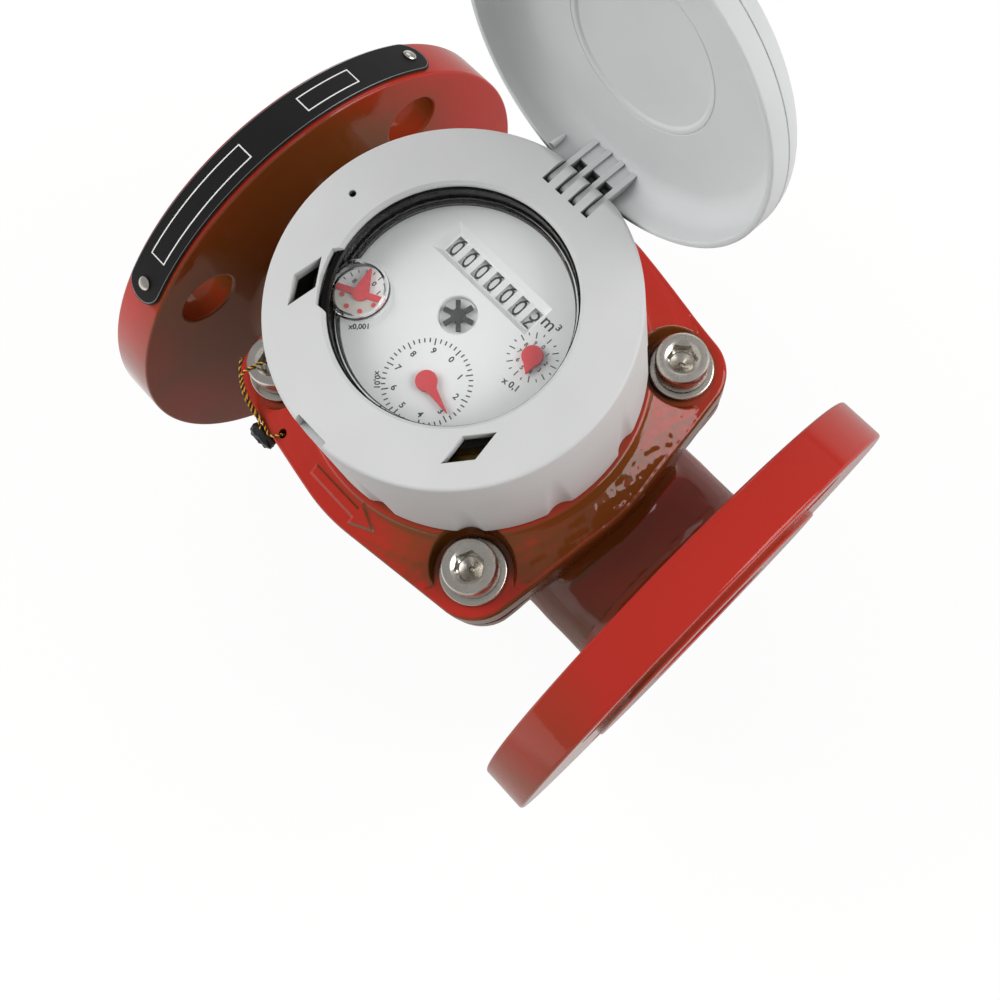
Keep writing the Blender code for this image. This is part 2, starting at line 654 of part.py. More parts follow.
def make_cover_plate(look):
    """Cast cover: sloping square plate with spot-faced screw pockets and a raised flow arrow."""
    outline = cover_outline()
    cover = skin("cover_plate", cover_rings(outline), split=True)
    for x, y in square_corners():
        place = (x, y, 0.0)
        add(cover, rod("seat", POCKET_RADIUS, COVER_BOTTOM + 5 * MM, SEAT_Z, ROUND_COUNT, centre=place))
        cut(cover, rod("pocket", POCKET_RADIUS, SEAT_Z, COVER_TOP + 9 * MM, ROUND_COUNT, centre=place))
    add(cover, flow_arrow())
    neck_hole = HEAD_NECK_RADIUS + GAP
    counterbore = HEAD_FLANGE_RADIUS + 2 * GAP
    ceiling = HEAD_FLANGE_BOTTOM + HEAD_FLANGE_THICKNESS + GAP
    cut(cover, rod("neck_hole", neck_hole, COVER_BOTTOM - 5 * MM, COVER_TOP + 5 * MM, MEDIUM_COUNT))
    cut(cover, rod("counterbore", counterbore, COVER_BOTTOM - 5 * MM, ceiling, MEDIUM_COUNT))
    for x, y in square_corners():
        radius = SCREW_RADIUS + GAP
        cut(cover, rod("screw_hole", radius, COVER_BOTTOM - 5 * MM, COVER_TOP, ROUND_COUNT,
                       centre=(x, y, 0.0)))
    x, y = SEAL_HOLE_PLACE
    top = cover_height(math.hypot(x, y))
    cut(cover, rod("seal_hole", SEAL_HOLE_RADIUS, top - SEAL_HOLE_DEPTH, top + 9 * MM, COARSE_COUNT,
                   centre=(x, y, 0.0)))
    return finish(cover, look)


def screw_shape(name):
    """Socket head cap screw with a chamfered head, a hexagon socket and a conical socket mouth."""
    top = HEAD_BOTTOM + SCREW_HEAD_HEIGHT
    tip = HEAD_BOTTOM - SCREW_LENGTH
    chamfer = 0.7 * MM
    profile = [
        (SCREW_RADIUS - chamfer, tip), (SCREW_RADIUS, tip + chamfer), (SCREW_RADIUS, HEAD_BOTTOM),
        (SCREW_HEAD_RADIUS, HEAD_BOTTOM), (SCREW_HEAD_RADIUS, top - chamfer),
        (SCREW_HEAD_RADIUS - chamfer, top),
    ]
    screw = turned(name, profile, ROUND_COUNT)
    corner = SOCKET_ACROSS_FLATS / math.sqrt(3.0)
    hexagon = circle(corner, 6, start=math.radians(15))
    cut(screw, prism("socket", hexagon, top - SOCKET_DEPTH, top + 2 * MM))
    mouth = SOCKET_CHAMFER_RADIUS - SOCKET_ACROSS_FLATS / 2
    funnel = [(SOCKET_ACROSS_FLATS / 2, top - mouth), (SOCKET_CHAMFER_RADIUS, top),
              (SOCKET_CHAMFER_RADIUS, top + MM)]
    cut(screw, turned("mouth", funnel, ROUND_COUNT))
    return screw


def make_screws_and_washers(steel, bright_steel):
    """Four screws on four washers, each washer loose in its pocket by its clearance."""
    made = []
    for number, (x, y) in enumerate(square_corners(), 1):
        screw = transform(screw_shape(f"cover_screw_{number}"), Matrix.Translation((x, y, 0.0)))
        made.append(finish(screw, steel))
        inner = SCREW_RADIUS + GAP
        low = WASHER_BOTTOM
        high = low + WASHER_THICKNESS
        profile = [(inner, low), (WASHER_RADIUS, low), (WASHER_RADIUS, high), (inner, high)]
        washer = turned(f"cover_washer_{number}", profile, ROUND_COUNT, centre=(x, y, 0.0), looped=True)
        made.append(finish(washer, bright_steel))
    return made


def make_insert_head(look):
    """Pressure plate of the measuring insert, with the pocket where the drive magnet turns."""
    neck_top = COVER_TOP - GAP
    shoulder = HEAD_FLANGE_BOTTOM + HEAD_FLANGE_THICKNESS
    profile = [
        (HEAD_FLANGE_RADIUS, HEAD_FLANGE_BOTTOM), (HEAD_FLANGE_RADIUS, shoulder),
        (HEAD_NECK_RADIUS, shoulder), (HEAD_NECK_RADIUS, neck_top),
    ]
    head = turned("insert_head", profile, MEDIUM_COUNT)
    place = (WORM_PLACE, SHAFT_Y, 0.0)
    ceiling = MAGNET_TOP + 5 * GAP
    cut(head, rod("magnet_room", MAGNET_RADIUS + 5 * GAP, 0.0, ceiling, ROUND_COUNT, centre=place))
    return finish(head, look)


def make_turbine_housing(look):
    """Insert tube whose ends follow the round chamber, with a yoke up to the insert's head."""
    reach = CHAMBER_RADIUS - GAP
    housing = rod("turbine_housing", INSERT_TUBE_RADIUS, -reach * 1.2, reach * 1.2, MEDIUM_COUNT, "X")
    add(housing, rod("yoke", YOKE_RADIUS, YOKE_BOTTOM, BODY_TOP, MEDIUM_COUNT))
    keep_inside(housing, rod("chamber_form", reach, -INSERT_TUBE_RADIUS * 1.2, BODY_TOP + 5 * MM,
                             MEDIUM_COUNT))
    cut(housing, rod("bore", BORE_RADIUS, -FACE_TO_FACE, FACE_TO_FACE, MEDIUM_COUNT, "X"))
    place = (WORM_PLACE, SHAFT_Y, 0.0)
    cut(housing, rod("shaft_hole", SPINDLE_RADIUS + GAP, 0.0, BODY_TOP + 5 * MM, COARSE_COUNT, centre=place))
    return finish(housing, look)


def vane_outline(inner, outer, thickness, angle):
    """Cross-section, in the plane across the flow, of one radial vane."""
    a = math.radians(angle)
    along = (math.cos(a), math.sin(a))
    across = (-math.sin(a) * thickness / 2, math.cos(a) * thickness / 2)
    return [
        (along[0] * inner - across[0], along[1] * inner - across[1]),
        (along[0] * outer - across[0], along[1] * outer - across[1]),
        (along[0] * outer + across[0], along[1] * outer + across[1]),
        (along[0] * inner + across[0], along[1] * inner + across[1]),
    ]


def spider(name, start, vanes, first_angle):
    """Ring with radial vanes that sits in the insert tube."""
    outer = BORE_RADIUS - GAP
    inner = outer - SPIDER_RING_WALL
    end = start + SPIDER_LENGTH
    profile = [(inner, start), (outer, start), (outer, end), (inner, end)]
    frame = turned(name, profile, MEDIUM_COUNT, "X", looped=True)
    middle = (inner + outer) / 2
    for i in range(vanes):
        angle = first_angle + 360.0 / vanes * i
        outline = vane_outline(SPIDER_HUB_RADIUS * 0.6, middle, VANE_THICKNESS, angle)
        add(frame, prism("vane", outline, start + 0.2 * MM, end - 0.2 * MM, "YZ"))
    return frame


def make_flow_straightener(look):
    """Inlet spider: six radial vanes round a nose cone that carries the rotor's front bearing."""
    frame = spider("flow_straightener", INLET_SPIDER_START, STRAIGHTENER_VANES, 90.0)
    end = INLET_SPIDER_START + SPIDER_LENGTH
    tip = INLET_SPIDER_START - NOSE_LENGTH
    hub = [(SPIDER_HUB_RADIUS * 0.25, tip), (SPIDER_HUB_RADIUS * 0.65, tip + NOSE_LENGTH * 0.25),
           (SPIDER_HUB_RADIUS * 0.92, tip + NOSE_LENGTH * 0.65), (SPIDER_HUB_RADIUS, INLET_SPIDER_START),
           (SPIDER_HUB_RADIUS, end)]
    add(frame, turned("hub", hub, ROUND_COUNT, "X"))
    cut(frame, rod("bush_seat", BUSH_RADIUS + GAP, end - BUSH_LENGTH - GAP, end + 5 * MM, COARSE_COUNT, "X"))
    return finish(frame, look)


def make_outlet_bracket(look):
    """Outlet spider with the rear bearing's hub and the foot that the upright shaft stands on."""
    frame = spider("outlet_bracket", OUTLET_SPIDER_START, OUTLET_ARMS, 45.0)
    end = OUTLET_SPIDER_START + SPIDER_LENGTH
    hub = [(SPIDER_HUB_RADIUS, OUTLET_SPIDER_START), (SPIDER_HUB_RADIUS, end),
           (SPIDER_HUB_RADIUS * 0.5, end + 3 * MM)]
    add(frame, turned("hub", hub, ROUND_COUNT, "X"))
    foot_top = -WHEEL_THICKNESS / 2 - 1.2 * MM
    foot_bottom = foot_top - 2.4 * MM
    width = 2 * MM
    inner = OUTLET_SPIDER_START + 0.5 * MM
    outer = OUTLET_SPIDER_START + 4 * MM
    add(frame, box("foot_root", (inner, 0.0, foot_bottom), (outer, SHAFT_Y + width, foot_top)))
    toe = WORM_PLACE - 2.5 * MM
    add(frame, box("foot", (toe, SHAFT_Y - width, foot_bottom), (inner + MM, SHAFT_Y + width, foot_top)))
    cut(frame, rod("bush_seat", BUSH_RADIUS + GAP, OUTLET_SPIDER_START - 5 * MM,
                   OUTLET_SPIDER_START + BUSH_LENGTH + GAP, COARSE_COUNT, "X"))
    return finish(frame, look)


def make_bearings(look):
    """Two plain bushes that the rotor's pivots run in."""
    made = []
    inlet_end = INLET_SPIDER_START + SPIDER_LENGTH
    spans = {
        "front_bearing": (inlet_end - BUSH_LENGTH, inlet_end),
        "rear_bearing": (OUTLET_SPIDER_START, OUTLET_SPIDER_START + BUSH_LENGTH),
    }
    for name, (low, high) in spans.items():
        inner = SPINDLE_RADIUS + GAP
        profile = [(inner, low), (BUSH_RADIUS, low), (BUSH_RADIUS, high), (inner, high)]
        made.append(finish(turned(name, profile, COARSE_COUNT, "X", looped=True), look))
    return made


def rotor_blade(index):
    """One helical blade: its angle grows with x by a full turn for each pitch length."""
    outer = BORE_RADIUS - ROTOR_TIP_CLEARANCE
    inner = ROTOR_HUB_RADIUS * 0.8
    start = ROTOR_HUB_START + (ROTOR_HUB_LENGTH - ROTOR_BLADE_LENGTH) / 2
    stations = 7
    rings = []
    for i in range(stations + 1):
        x = start + ROTOR_BLADE_LENGTH * i / stations
        angle = 360.0 * (index / ROTOR_BLADES + (x - start) / ROTOR_PITCH)
        rings.append([(x, y, z) for y, z in vane_outline(inner, outer, BLADE_THICKNESS, angle)])
    return skin("blade", rings)


def worm_thread():
    """Single-start thread: a tooth section carried along a helix about the rotor's axis."""
    steps = COARSE_COUNT * WORM_TURNS
    start = WORM_PLACE - WORM_PITCH * WORM_TURNS / 2
    foot = WORM_PITCH * 0.34
    crest = WORM_PITCH * 0.14
    root = WORM_ROOT_RADIUS * 0.8
    rings = []
    for i in range(steps + 1):
        turn = 2 * math.pi * i / COARSE_COUNT
        x = start + WORM_PITCH * i / COARSE_COUNT
        section = [(x - foot, root), (x + foot, root), (x + crest, WORM_RADIUS), (x - crest, WORM_RADIUS)]
        rings.append([(a, r * math.cos(turn), r * math.sin(turn)) for a, r in section])
    return skin("thread", rings)


def make_rotor(look):
    """Helical turbine rotor with its pivots and the worm that drives the upright shaft."""
    end = ROTOR_HUB_START + ROTOR_HUB_LENGTH
    front = INLET_SPIDER_START + SPIDER_LENGTH - BUSH_LENGTH
    back = OUTLET_SPIDER_START + BUSH_LENGTH
    half = WORM_PITCH * (WORM_TURNS / 2 + 0.5)
    taper = 1.5 * MM
    profile = [
        (SPINDLE_RADIUS, front), (SPINDLE_RADIUS, ROTOR_HUB_START),
        (ROTOR_HUB_RADIUS - taper, ROTOR_HUB_START),
        (ROTOR_HUB_RADIUS, ROTOR_HUB_START + taper), (ROTOR_HUB_RADIUS, end - taper),
        (ROTOR_HUB_RADIUS - taper, end), (SPINDLE_RADIUS, end), (SPINDLE_RADIUS, WORM_PLACE - half),
        (WORM_ROOT_RADIUS, WORM_PLACE - half), (WORM_ROOT_RADIUS, WORM_PLACE + half),
        (SPINDLE_RADIUS, WORM_PLACE + half), (SPINDLE_RADIUS, back),
    ]
    rotor = turned("rotor", profile, ROUND_COUNT, "X")
    for index in range(ROTOR_BLADES):
        add(rotor, rotor_blade(index))
    add(rotor, worm_thread())
    return finish(rotor, look)


def make_drive_shaft(look):
    """Upright shaft with a worm wheel below and the coupling magnet on top."""
    place = (WORM_PLACE, SHAFT_Y, 0.0)
    pitch_angle = 360.0 / WHEEL_TEETH
    outline = []
    for tooth in range(WHEEL_TEETH):
        middle = tooth * pitch_angle
        for radius, offset in ((WHEEL_ROOT_RADIUS, -0.34), (WHEEL_TIP_RADIUS, -0.14),
                               (WHEEL_TIP_RADIUS, 0.14), (WHEEL_ROOT_RADIUS, 0.34)):
            a = math.radians(middle + offset * pitch_angle)
            outline.append((radius * math.cos(a), radius * math.sin(a)))
    half = WHEEL_THICKNESS / 2
    shaft = prism("drive_shaft", outline, -half, half)
    foot = -half - 1.2 * MM + GAP
    magnet_bottom = MAGNET_TOP - MAGNET_HEIGHT
    profile = [(SPINDLE_RADIUS, foot), (SPINDLE_RADIUS, magnet_bottom), (MAGNET_RADIUS, magnet_bottom),
               (MAGNET_RADIUS, MAGNET_TOP)]
    add(shaft, turned("spindle", profile, COARSE_COUNT))
    transform(shaft, Matrix.Translation(place))
    return finish(shaft, look, place)


def make_register_can(look):
    """Sealed metal cup of the register with an inward rim that carries the glass and its seal."""
    inner = CAN_RADIUS - CAN_WALL
    rim = DIAL_RADIUS + 0.4 * MM
    floor = CAN_BOTTOM + CAN_WALL
    profile = [
        (rim * 0.5, floor), (inner, floor), (inner, CAN_TOP - CAN_RIM_HEIGHT),
        (rim, CAN_TOP - CAN_RIM_HEIGHT),
        (rim, CAN_TOP), (CAN_RADIUS, CAN_TOP), (CAN_RADIUS, CAN_BOTTOM), (rim * 0.5, CAN_BOTTOM),
    ]
    return finish(turned("register_can", profile[1:-1], LARGE_COUNT), look)


def make_movement_frame(look):
    """Block under the dial that holds the drum axle and the pointer stems; its gear train is sealed in."""
    top = DIAL_BOTTOM - GAP
    bottom = CAN_BOTTOM + CAN_WALL + GAP
    frame = rod("movement_frame", DIAL_RADIUS, bottom, top, LARGE_COUNT)
    half_row = DRUM_PITCH * DRUM_COUNT / 2 + GAP
    half_width = DRUM_RADIUS + 2 * GAP
    low = (DRUM_ROW_X - half_row, DRUM_ROW_Y - half_width, DRUM_AXIS_Z - half_width)
    high = (DRUM_ROW_X + half_row, DRUM_ROW_Y + half_width, top + MM)
    cut(frame, box("trough", low, high))
    reach = half_row + 3 * MM
    place = (DRUM_ROW_X, DRUM_ROW_Y, DRUM_AXIS_Z)
    cut(frame, rod("axle_hole", DRUM_AXLE_RADIUS + GAP, -reach, reach, COARSE_COUNT, "X", place))
    stem = STEM_RADIUS + GAP
    for x, y in ((0.0, 0.0), POINTER_HUNDREDTH_PLACE, POINTER_TENTH_PLACE, PORT_PLACE):
        cut(frame, rod("stem_hole", stem, top - 6 * MM, top + MM, COARSE_COUNT, centre=(x, y, 0.0)))
    return finish(frame, look)


def drum_places():
    """X places of the drum centres, from the highest digit to the units."""
    first = DRUM_ROW_X - DRUM_PITCH * (DRUM_COUNT - 1) / 2
    return [first + DRUM_PITCH * i for i in range(DRUM_COUNT)]


def make_number_drums(look, axle_look):
    """Seven number drums side by side on one axle; drum 1 counts the single cubic metres."""
    made = []
    for order, x in enumerate(drum_places()):
        number = DRUM_COUNT - order
        inner = DRUM_AXLE_RADIUS + GAP
        half = (DRUM_PITCH - GAP) / 2
        profile = [(inner, -half), (DRUM_RADIUS, -half), (DRUM_RADIUS, half), (inner, half)]
        place = (x, DRUM_ROW_Y, DRUM_AXIS_Z)
        drum = turned(f"number_drum_{number}", profile, ROUND_COUNT, "X", place, looped=True)
        made.append(finish(drum, look, place))
    reach = DRUM_PITCH * DRUM_COUNT / 2 + 2.5 * MM
    place = (DRUM_ROW_X, DRUM_ROW_Y, DRUM_AXIS_Z)
    axle = rod("drum_axle", DRUM_AXLE_RADIUS, -reach, reach, COARSE_COUNT, "X", place)
    made.append(finish(axle, axle_look))
    return made


def recess_outline(margin):
    """Corners of the bevelled recess round the drum slots, grown by a margin."""
    half = DRUM_ROW_LENGTH / 2
    tall = DRUM_SLOT_HEIGHT / 2
    left = DRUM_ROW_X - half - margin
    right = DRUM_ROW_X + half + margin * 0.5
    low = DRUM_ROW_Y - tall - margin * 0.8
    high = DRUM_ROW_Y + tall + margin
    return [(left, low), (right, low), (right, high), (left, high)]


def make_dial_plate(look):
    """Dial with the bevelled drum recess, seven slots, the star's opening and the stem holes."""
    dial = rod("dial_plate", DIAL_RADIUS, DIAL_BOTTOM, DIAL_TOP, LARGE_COUNT)
    floor = DIAL_TOP - RECESS_DEPTH
    rings = [[(x, y, floor) for x, y in recess_outline(0.5 * MM)],
             [(x, y, DIAL_TOP) for x, y in recess_outline(RECESS_MARGIN)],
             [(x, y, DIAL_TOP + MM) for x, y in recess_outline(RECESS_MARGIN)]]
    cut(dial, skin("recess", rings))
    half_width = DRUM_SLOT_WIDTH / 2
    half_height = DRUM_SLOT_HEIGHT / 2
    for x in drum_places():
        cut(dial, box("slot", (x - half_width, DRUM_ROW_Y - half_height, DIAL_BOTTOM - MM),
                      (x + half_width, DRUM_ROW_Y + half_height, DIAL_TOP + MM)))
    cut(dial, rod("star_opening", STAR_OPENING_RADIUS, DIAL_BOTTOM - MM, DIAL_TOP + MM, ROUND_COUNT))
    for x, y in (POINTER_HUNDREDTH_PLACE, POINTER_TENTH_PLACE, PORT_PLACE):
        cut(dial, rod("stem_hole", STEM_RADIUS + GAP, DIAL_BOTTOM - MM, DIAL_TOP + MM, COARSE_COUNT,
                      centre=(x, y, 0.0)))
    return finish(dial, look)


def stem(bottom, top):
    """Thin stem that carries a pointer up from the movement."""
    return rod("stem", STEM_RADIUS, bottom, top, COARSE_COUNT)


def make_star_indicator(look):
    """Six-armed star that shows even a slow trickle of flow."""
    outline = []
    arm = STAR_RADIUS * 0.16
    step = 360.0 / STAR_ARMS
    notch = arm / math.sin(math.radians(step / 2))
    for i in range(STAR_ARMS):
        a = step * i
        tip = math.degrees(math.asin(arm / STAR_RADIUS))
        for radius, angle in ((STAR_RADIUS, a - tip), (STAR_RADIUS, a + tip), (notch * 1.5, a + step / 2)):
            turn = math.radians(angle)
            outline.append((radius * math.cos(turn), radius * math.sin(turn)))
    top = DIAL_TOP - 0.4 * MM
    star = prism("star_indicator", outline, top - STAR_THICKNESS, top)
    add(star, stem(DIAL_BOTTOM - 5 * MM, top - STAR_THICKNESS / 2))
    return finish(star, look, (0.0, 0.0, top))


def make_pointer(name, place, reach, angle, look):
    """Red pointer: round hub, tapered needle and a stem down through the dial."""
    low = DIAL_TOP + POINTER_LIFT
    high = low + POINTER_THICKNESS
    turn = math.degrees(math.acos(POINTER_HUB_RADIUS * 0.55 / reach))
    outline = arc((0.0, 0.0), POINTER_HUB_RADIUS, turn * 0.62, 360.0 - turn * 0.62, 16)
    neck = POINTER_HUB_RADIUS * 0.42
    outline += [(POINTER_HUB_RADIUS * 1.15, -neck), (reach, -0.12 * MM), (reach, 0.12 * MM),
                (POINTER_HUB_RADIUS * 1.15, neck)]
    pointer = prism(name, outline, low, high)
    add(pointer, stem(DIAL_BOTTOM - 5 * MM, (low + high) / 2))
    centre = (place[0], place[1], 0.0)
    transform(pointer, Matrix.Translation(centre) @ Matrix.Rotation(math.radians(angle), 4, "Z"))
    return finish(pointer, look, (place[0], place[1], low))


def make_port_pointer(look):
    """Pointer under the port: a half disc, a crossbar and a short arrow on one hub."""
    low = GLASS_BOTTOM + 0.5 * MM
    high = low + POINTER_THICKNESS
    middle = (low + high) / 2
    radius = PORT_POINTER_RADIUS
    half_disc = arc((0.0, 0.0), radius, 180, 360, 16)
    pointer = prism("pointer_x0_001", half_disc, low, middle)
    bar = radius * 0.13
    add(pointer, box("bar", (-radius * 0.98, -bar, low), (radius * 0.98, bar, high)))
    add(pointer, rod("hub", radius * 0.3, low, high, COARSE_COUNT))
    arrow = [(-radius * 0.24, 0.0), (radius * 0.24, 0.0), (0.0, radius * 0.92)]
    add(pointer, prism("arrow", arrow, low + 0.1 * MM, high - 0.1 * MM))
    add(pointer, stem(DIAL_BOTTOM - 5 * MM, middle))
    centre = (PORT_PLACE[0], PORT_PLACE[1], 0.0)
    turn = Matrix.Rotation(math.radians(PORT_POINTER_ANGLE - 90.0), 4, "Z")
    transform(pointer, Matrix.Translation(centre) @ turn)
    return finish(pointer, look, (PORT_PLACE[0], PORT_PLACE[1], low))


def make_glass_gasket(look):
    """Black sealing ring round the glass, with a lip under its edge and a bite for the port."""
    top = SHROUD_UNDERSIDE - GAP
    lip_top = SEALING_BOTTOM + GASKET_LIP_HEIGHT
    wall = GLASS_RADIUS + GAP
    profile = [
        (GASKET_LIP_RADIUS, SEALING_BOTTOM), (SEALING_RING_RADIUS, SEALING_BOTTOM),
        (SEALING_RING_RADIUS, top),
        (wall, top), (wall, lip_top), (GASKET_LIP_RADIUS, lip_top),
    ]
    ring = turned("glass_gasket", profile, LARGE_COUNT, looped=True)
    place = (PORT_PLACE[0], PORT_PLACE[1], 0.0)
    cut(ring, rod("bite", PORT_RADIUS + GAP, lip_top, top + MM, ROUND_COUNT, centre=place))
    return finish(ring, look)


def make_register_glass(look):
    """Clear window with a raised hollow port over the fastest pointer."""
    glass = rod("register_glass", GLASS_RADIUS, GLASS_BOTTOM, GLASS_TOP, LARGE_COUNT)
    place = (PORT_PLACE[0], PORT_PLACE[1], 0.0)
    add(glass, rod("port", PORT_RADIUS, GLASS_BOTTOM, PORT_TOP, ROUND_COUNT, centre=place))
    cut(glass, rod("port_room", PORT_RADIUS - PORT_WALL, GLASS_BOTTOM - MM, PORT_TOP - PORT_WALL, ROUND_COUNT,
                   centre=place))
    return finish(glass, look)


def shroud_radius(height):
    """Outer radius of the shroud's tapering wall at a height."""
    share = (height - SHROUD_BOTTOM) / SHROUD_HEIGHT
    return SHROUD_BASE_RADIUS + (SHROUD_TOP_RADIUS - SHROUD_BASE_RADIUS) * share


def shroud_shell():
    """Turned shell of the shroud: top ring with a bevelled window and a tapering side wall."""
    r = SHROUD_EDGE_ROUNDING
    bevelled = WINDOW_RADIUS + WINDOW_BEVEL
    profile = [(SHROUD_BASE_RADIUS, SHROUD_BOTTOM), (shroud_radius(SHROUD_TOP - r), SHROUD_TOP - r)]
    profile += arc((SHROUD_TOP_RADIUS - r, SHROUD_TOP - r), r, 45, 90, 1)
    profile += [
        (bevelled, SHROUD_TOP), (WINDOW_RADIUS, SHROUD_TOP - WINDOW_BEVEL), (WINDOW_RADIUS, SHROUD_UNDERSIDE),
        (SHROUD_TOP_RADIUS - SHROUD_WALL, SHROUD_UNDERSIDE),
        (SHROUD_BASE_RADIUS - SHROUD_WALL, SHROUD_BOTTOM),
    ]
    return turned("register_shroud", profile, WIDE_COUNT, looped=True)


def scallop(angle):
    """Upright round cutter that bites the wall's foot and runs out of it higher up."""
    top = SHROUD_BOTTOM + SCALLOP_HEIGHT
    foot = SHROUD_BASE_RADIUS + SCALLOP_RADIUS - SCALLOP_DEPTH
    head = shroud_radius(top) + SCALLOP_RADIUS
    slope = (head - foot) / SCALLOP_HEIGHT
    rings = []
    for height in (SHROUD_BOTTOM - 2 * MM, top + 2 * MM):
        centre = foot + slope * (height - SHROUD_BOTTOM)
        rings.append([(x, y, height) for x, y in circle(SCALLOP_RADIUS, 16, (centre, 0.0), math.pi / 16)])
    return transform(skin("scallop", rings), Matrix.Rotation(math.radians(angle), 4, "Z"))


def window_notch():
    """Side step of the window that bares the port."""
    radii = (WINDOW_RADIUS - MM, WINDOW_NOTCH_RADIUS, WINDOW_NOTCH_RADIUS, WINDOW_RADIUS - MM)
    first, early, late, last = WINDOW_NOTCH_ANGLES
    points = [(radii[0], first)]
    points += [(WINDOW_NOTCH_RADIUS, early + (late - early) * i / 4) for i in range(5)]
    points += [(radii[3], last)]
    outline = [(r * math.cos(math.radians(a)), r * math.sin(math.radians(a))) for r, a in points]
    return prism("notch", outline, SHROUD_UNDERSIDE - MM, SHROUD_TOP + MM)


def rhombus(side):
    """Lozenge recess in the top ring; the second one mirrors the first across the YZ plane."""
    (ax, ay), (bx, by) = RHOMBUS_TIPS
    length = math.hypot(bx - ax, by - ay)
    across = ((by - ay) / length * RHOMBUS_HALF_WIDTH, -(bx - ax) / length * RHOMBUS_HALF_WIDTH)
    middle = ((ax + bx) / 2, (ay + by) / 2)
    outline = [
        (ax, ay), (middle[0] + across[0], middle[1] + across[1]), (bx, by),
        (middle[0] - across[0], middle[1] - across[1]),
    ]
    outline = [(side * x, y) for x, y in outline]
    return prism("rhombus", outline, SHROUD_TOP - RHOMBUS_DEPTH, SHROUD_TOP + MM)


def rib_places():
    """X places of the lid's hinge ribs, spread evenly about the middle."""
    return [HINGE_PITCH * (i - (HINGE_RIBS - 1) / 2) for i in range(HINGE_RIBS)]


def make_register_shroud(look):
    """Plastic shroud of the register with its scallops, window, recesses and hinge seat."""
    shroud = shroud_shell()
    reach = HINGE_PITCH * HINGE_RIBS / 2 + MM
    inner = HINGE_Y + RIB_RADIUS + GAP - HINGE_BLOCK_DEPTH - 2 * MM
    slot_floor = HINGE_Z - RIB_RADIUS - SLOT_MARGIN
    block_bottom = slot_floor - 2 * MM
    add(shroud, box("hinge_block", (-reach, inner, block_bottom),
                    (reach, STOP_FLAT_Y + MM, SHROUD_UNDERSIDE + 2 * MM)))
    wide = HINGE_RELIEF_HALF_WIDTH
    relief = box("relief", (-wide, HINGE_Y, HINGE_Z), (wide, HINGE_Y + 20 * MM, SHROUD_TOP + 5 * MM))
    barrel = rod("barrel", HINGE_DROP, -wide - MM, wide + MM, ROUND_COUNT, "X", (0.0, HINGE_Y, HINGE_Z))
    cut(shroud, cut(relief, barrel))
    cut(shroud, box("stop_flat", (-wide, STOP_FLAT_Y, block_bottom - MM),
                    (wide, STOP_FLAT_Y * 1.4, SHROUD_TOP)))
    lug_reach = rib_places()[-1]
    lugs = rod("lugs", HINGE_DROP - 0.01 * MM, -lug_reach, lug_reach, ROUND_COUNT, "X",
               (0.0, HINGE_Y, HINGE_Z))
    add(shroud, lugs)
    half_slot = RIB_WIDTH / 2 + GAP
    slot_start = HINGE_Y - RIB_RADIUS - SLOT_MARGIN
    for x in rib_places():
        cut(shroud, box("slot", (x - half_slot, slot_start, slot_floor),
                        (x + half_slot, STOP_FLAT_Y * 1.4, SHROUD_TOP + MM)))
    pin_reach = PIN_LENGTH / 2 + GAP
    cut(shroud, rod("pin_hole", PIN_RADIUS + GAP, -pin_reach, pin_reach, COARSE_COUNT, "X",
                    (0.0, HINGE_Y, HINGE_Z)))
    cut(shroud, window_notch(), rhombus(1), rhombus(-1))
    cut(shroud, rod("sensor_hole", SENSOR_HOLE_RADIUS, SHROUD_TOP - 3 * MM, SHROUD_TOP + MM, COARSE_COUNT,
                    centre=(*SENSOR_HOLE_PLACE, 0.0)))
    half_notch = EDGE_NOTCH_WIDTH / 2
    cut(shroud, box("edge_notch", (-half_notch, -SHROUD_TOP_RADIUS * 1.2, SHROUD_TOP - EDGE_NOTCH_HEIGHT),
                    (half_notch, -SHROUD_TOP_RADIUS + EDGE_NOTCH_DEPTH, SHROUD_TOP + MM)))
    for i in range(SCALLOP_COUNT):
        cut(shroud, scallop(SCALLOP_START_ANGLE + 360.0 / SCALLOP_COUNT * i))
    return finish(shroud, look)


def lid_shell():
    """Shallow dish of the lid, closed side up: inner face, thin rim and rounded outer edge."""
    inner = LID_SKIRT_RADIUS
    bend = LID_BEND
    outer_bend = bend + LID_WALL * 0.4
    top = LID_INNER_Z + LID_WALL
    dish = LID_INNER_Z + LID_DISH_DEPTH
    profile = [(LID_DISH_RADIUS - LID_DISH_DEPTH, dish), (LID_DISH_RADIUS, LID_INNER_Z)]
    profile += arc((inner - bend, LID_INNER_Z - bend), bend, 90, 0, 3)
    profile += [(inner, LID_RIM_Z), (LID_RADIUS, LID_RIM_Z)]
    profile += arc((LID_RADIUS - outer_bend, top - outer_bend), outer_bend, 0, 90, 3)
    return turned("lid", profile, WIDE_COUNT)


def skirt_arc(reach, last):
    """Points (y, z) that follow the lid's inner bend at a depth inside its wall."""
    centre = (LID_SKIRT_RADIUS - LID_BEND, LID_INNER_Z - LID_BEND)
    return arc(centre, LID_BEND + reach, 0, last, 5)


def rib_outline():
    """Side view of one hinge rib as (y, z): an eye round the pin and an arm along the lid's skirt."""
    sunk = LID_WALL * 0.45
    points = arc((HINGE_Y, HINGE_Z), RIB_RADIUS, 175, 365, 8)
    points += [(LID_SKIRT_RADIUS + sunk, LID_RIM_Z + 0.8 * MM)]
    points += skirt_arc(sunk, 64)
    return points


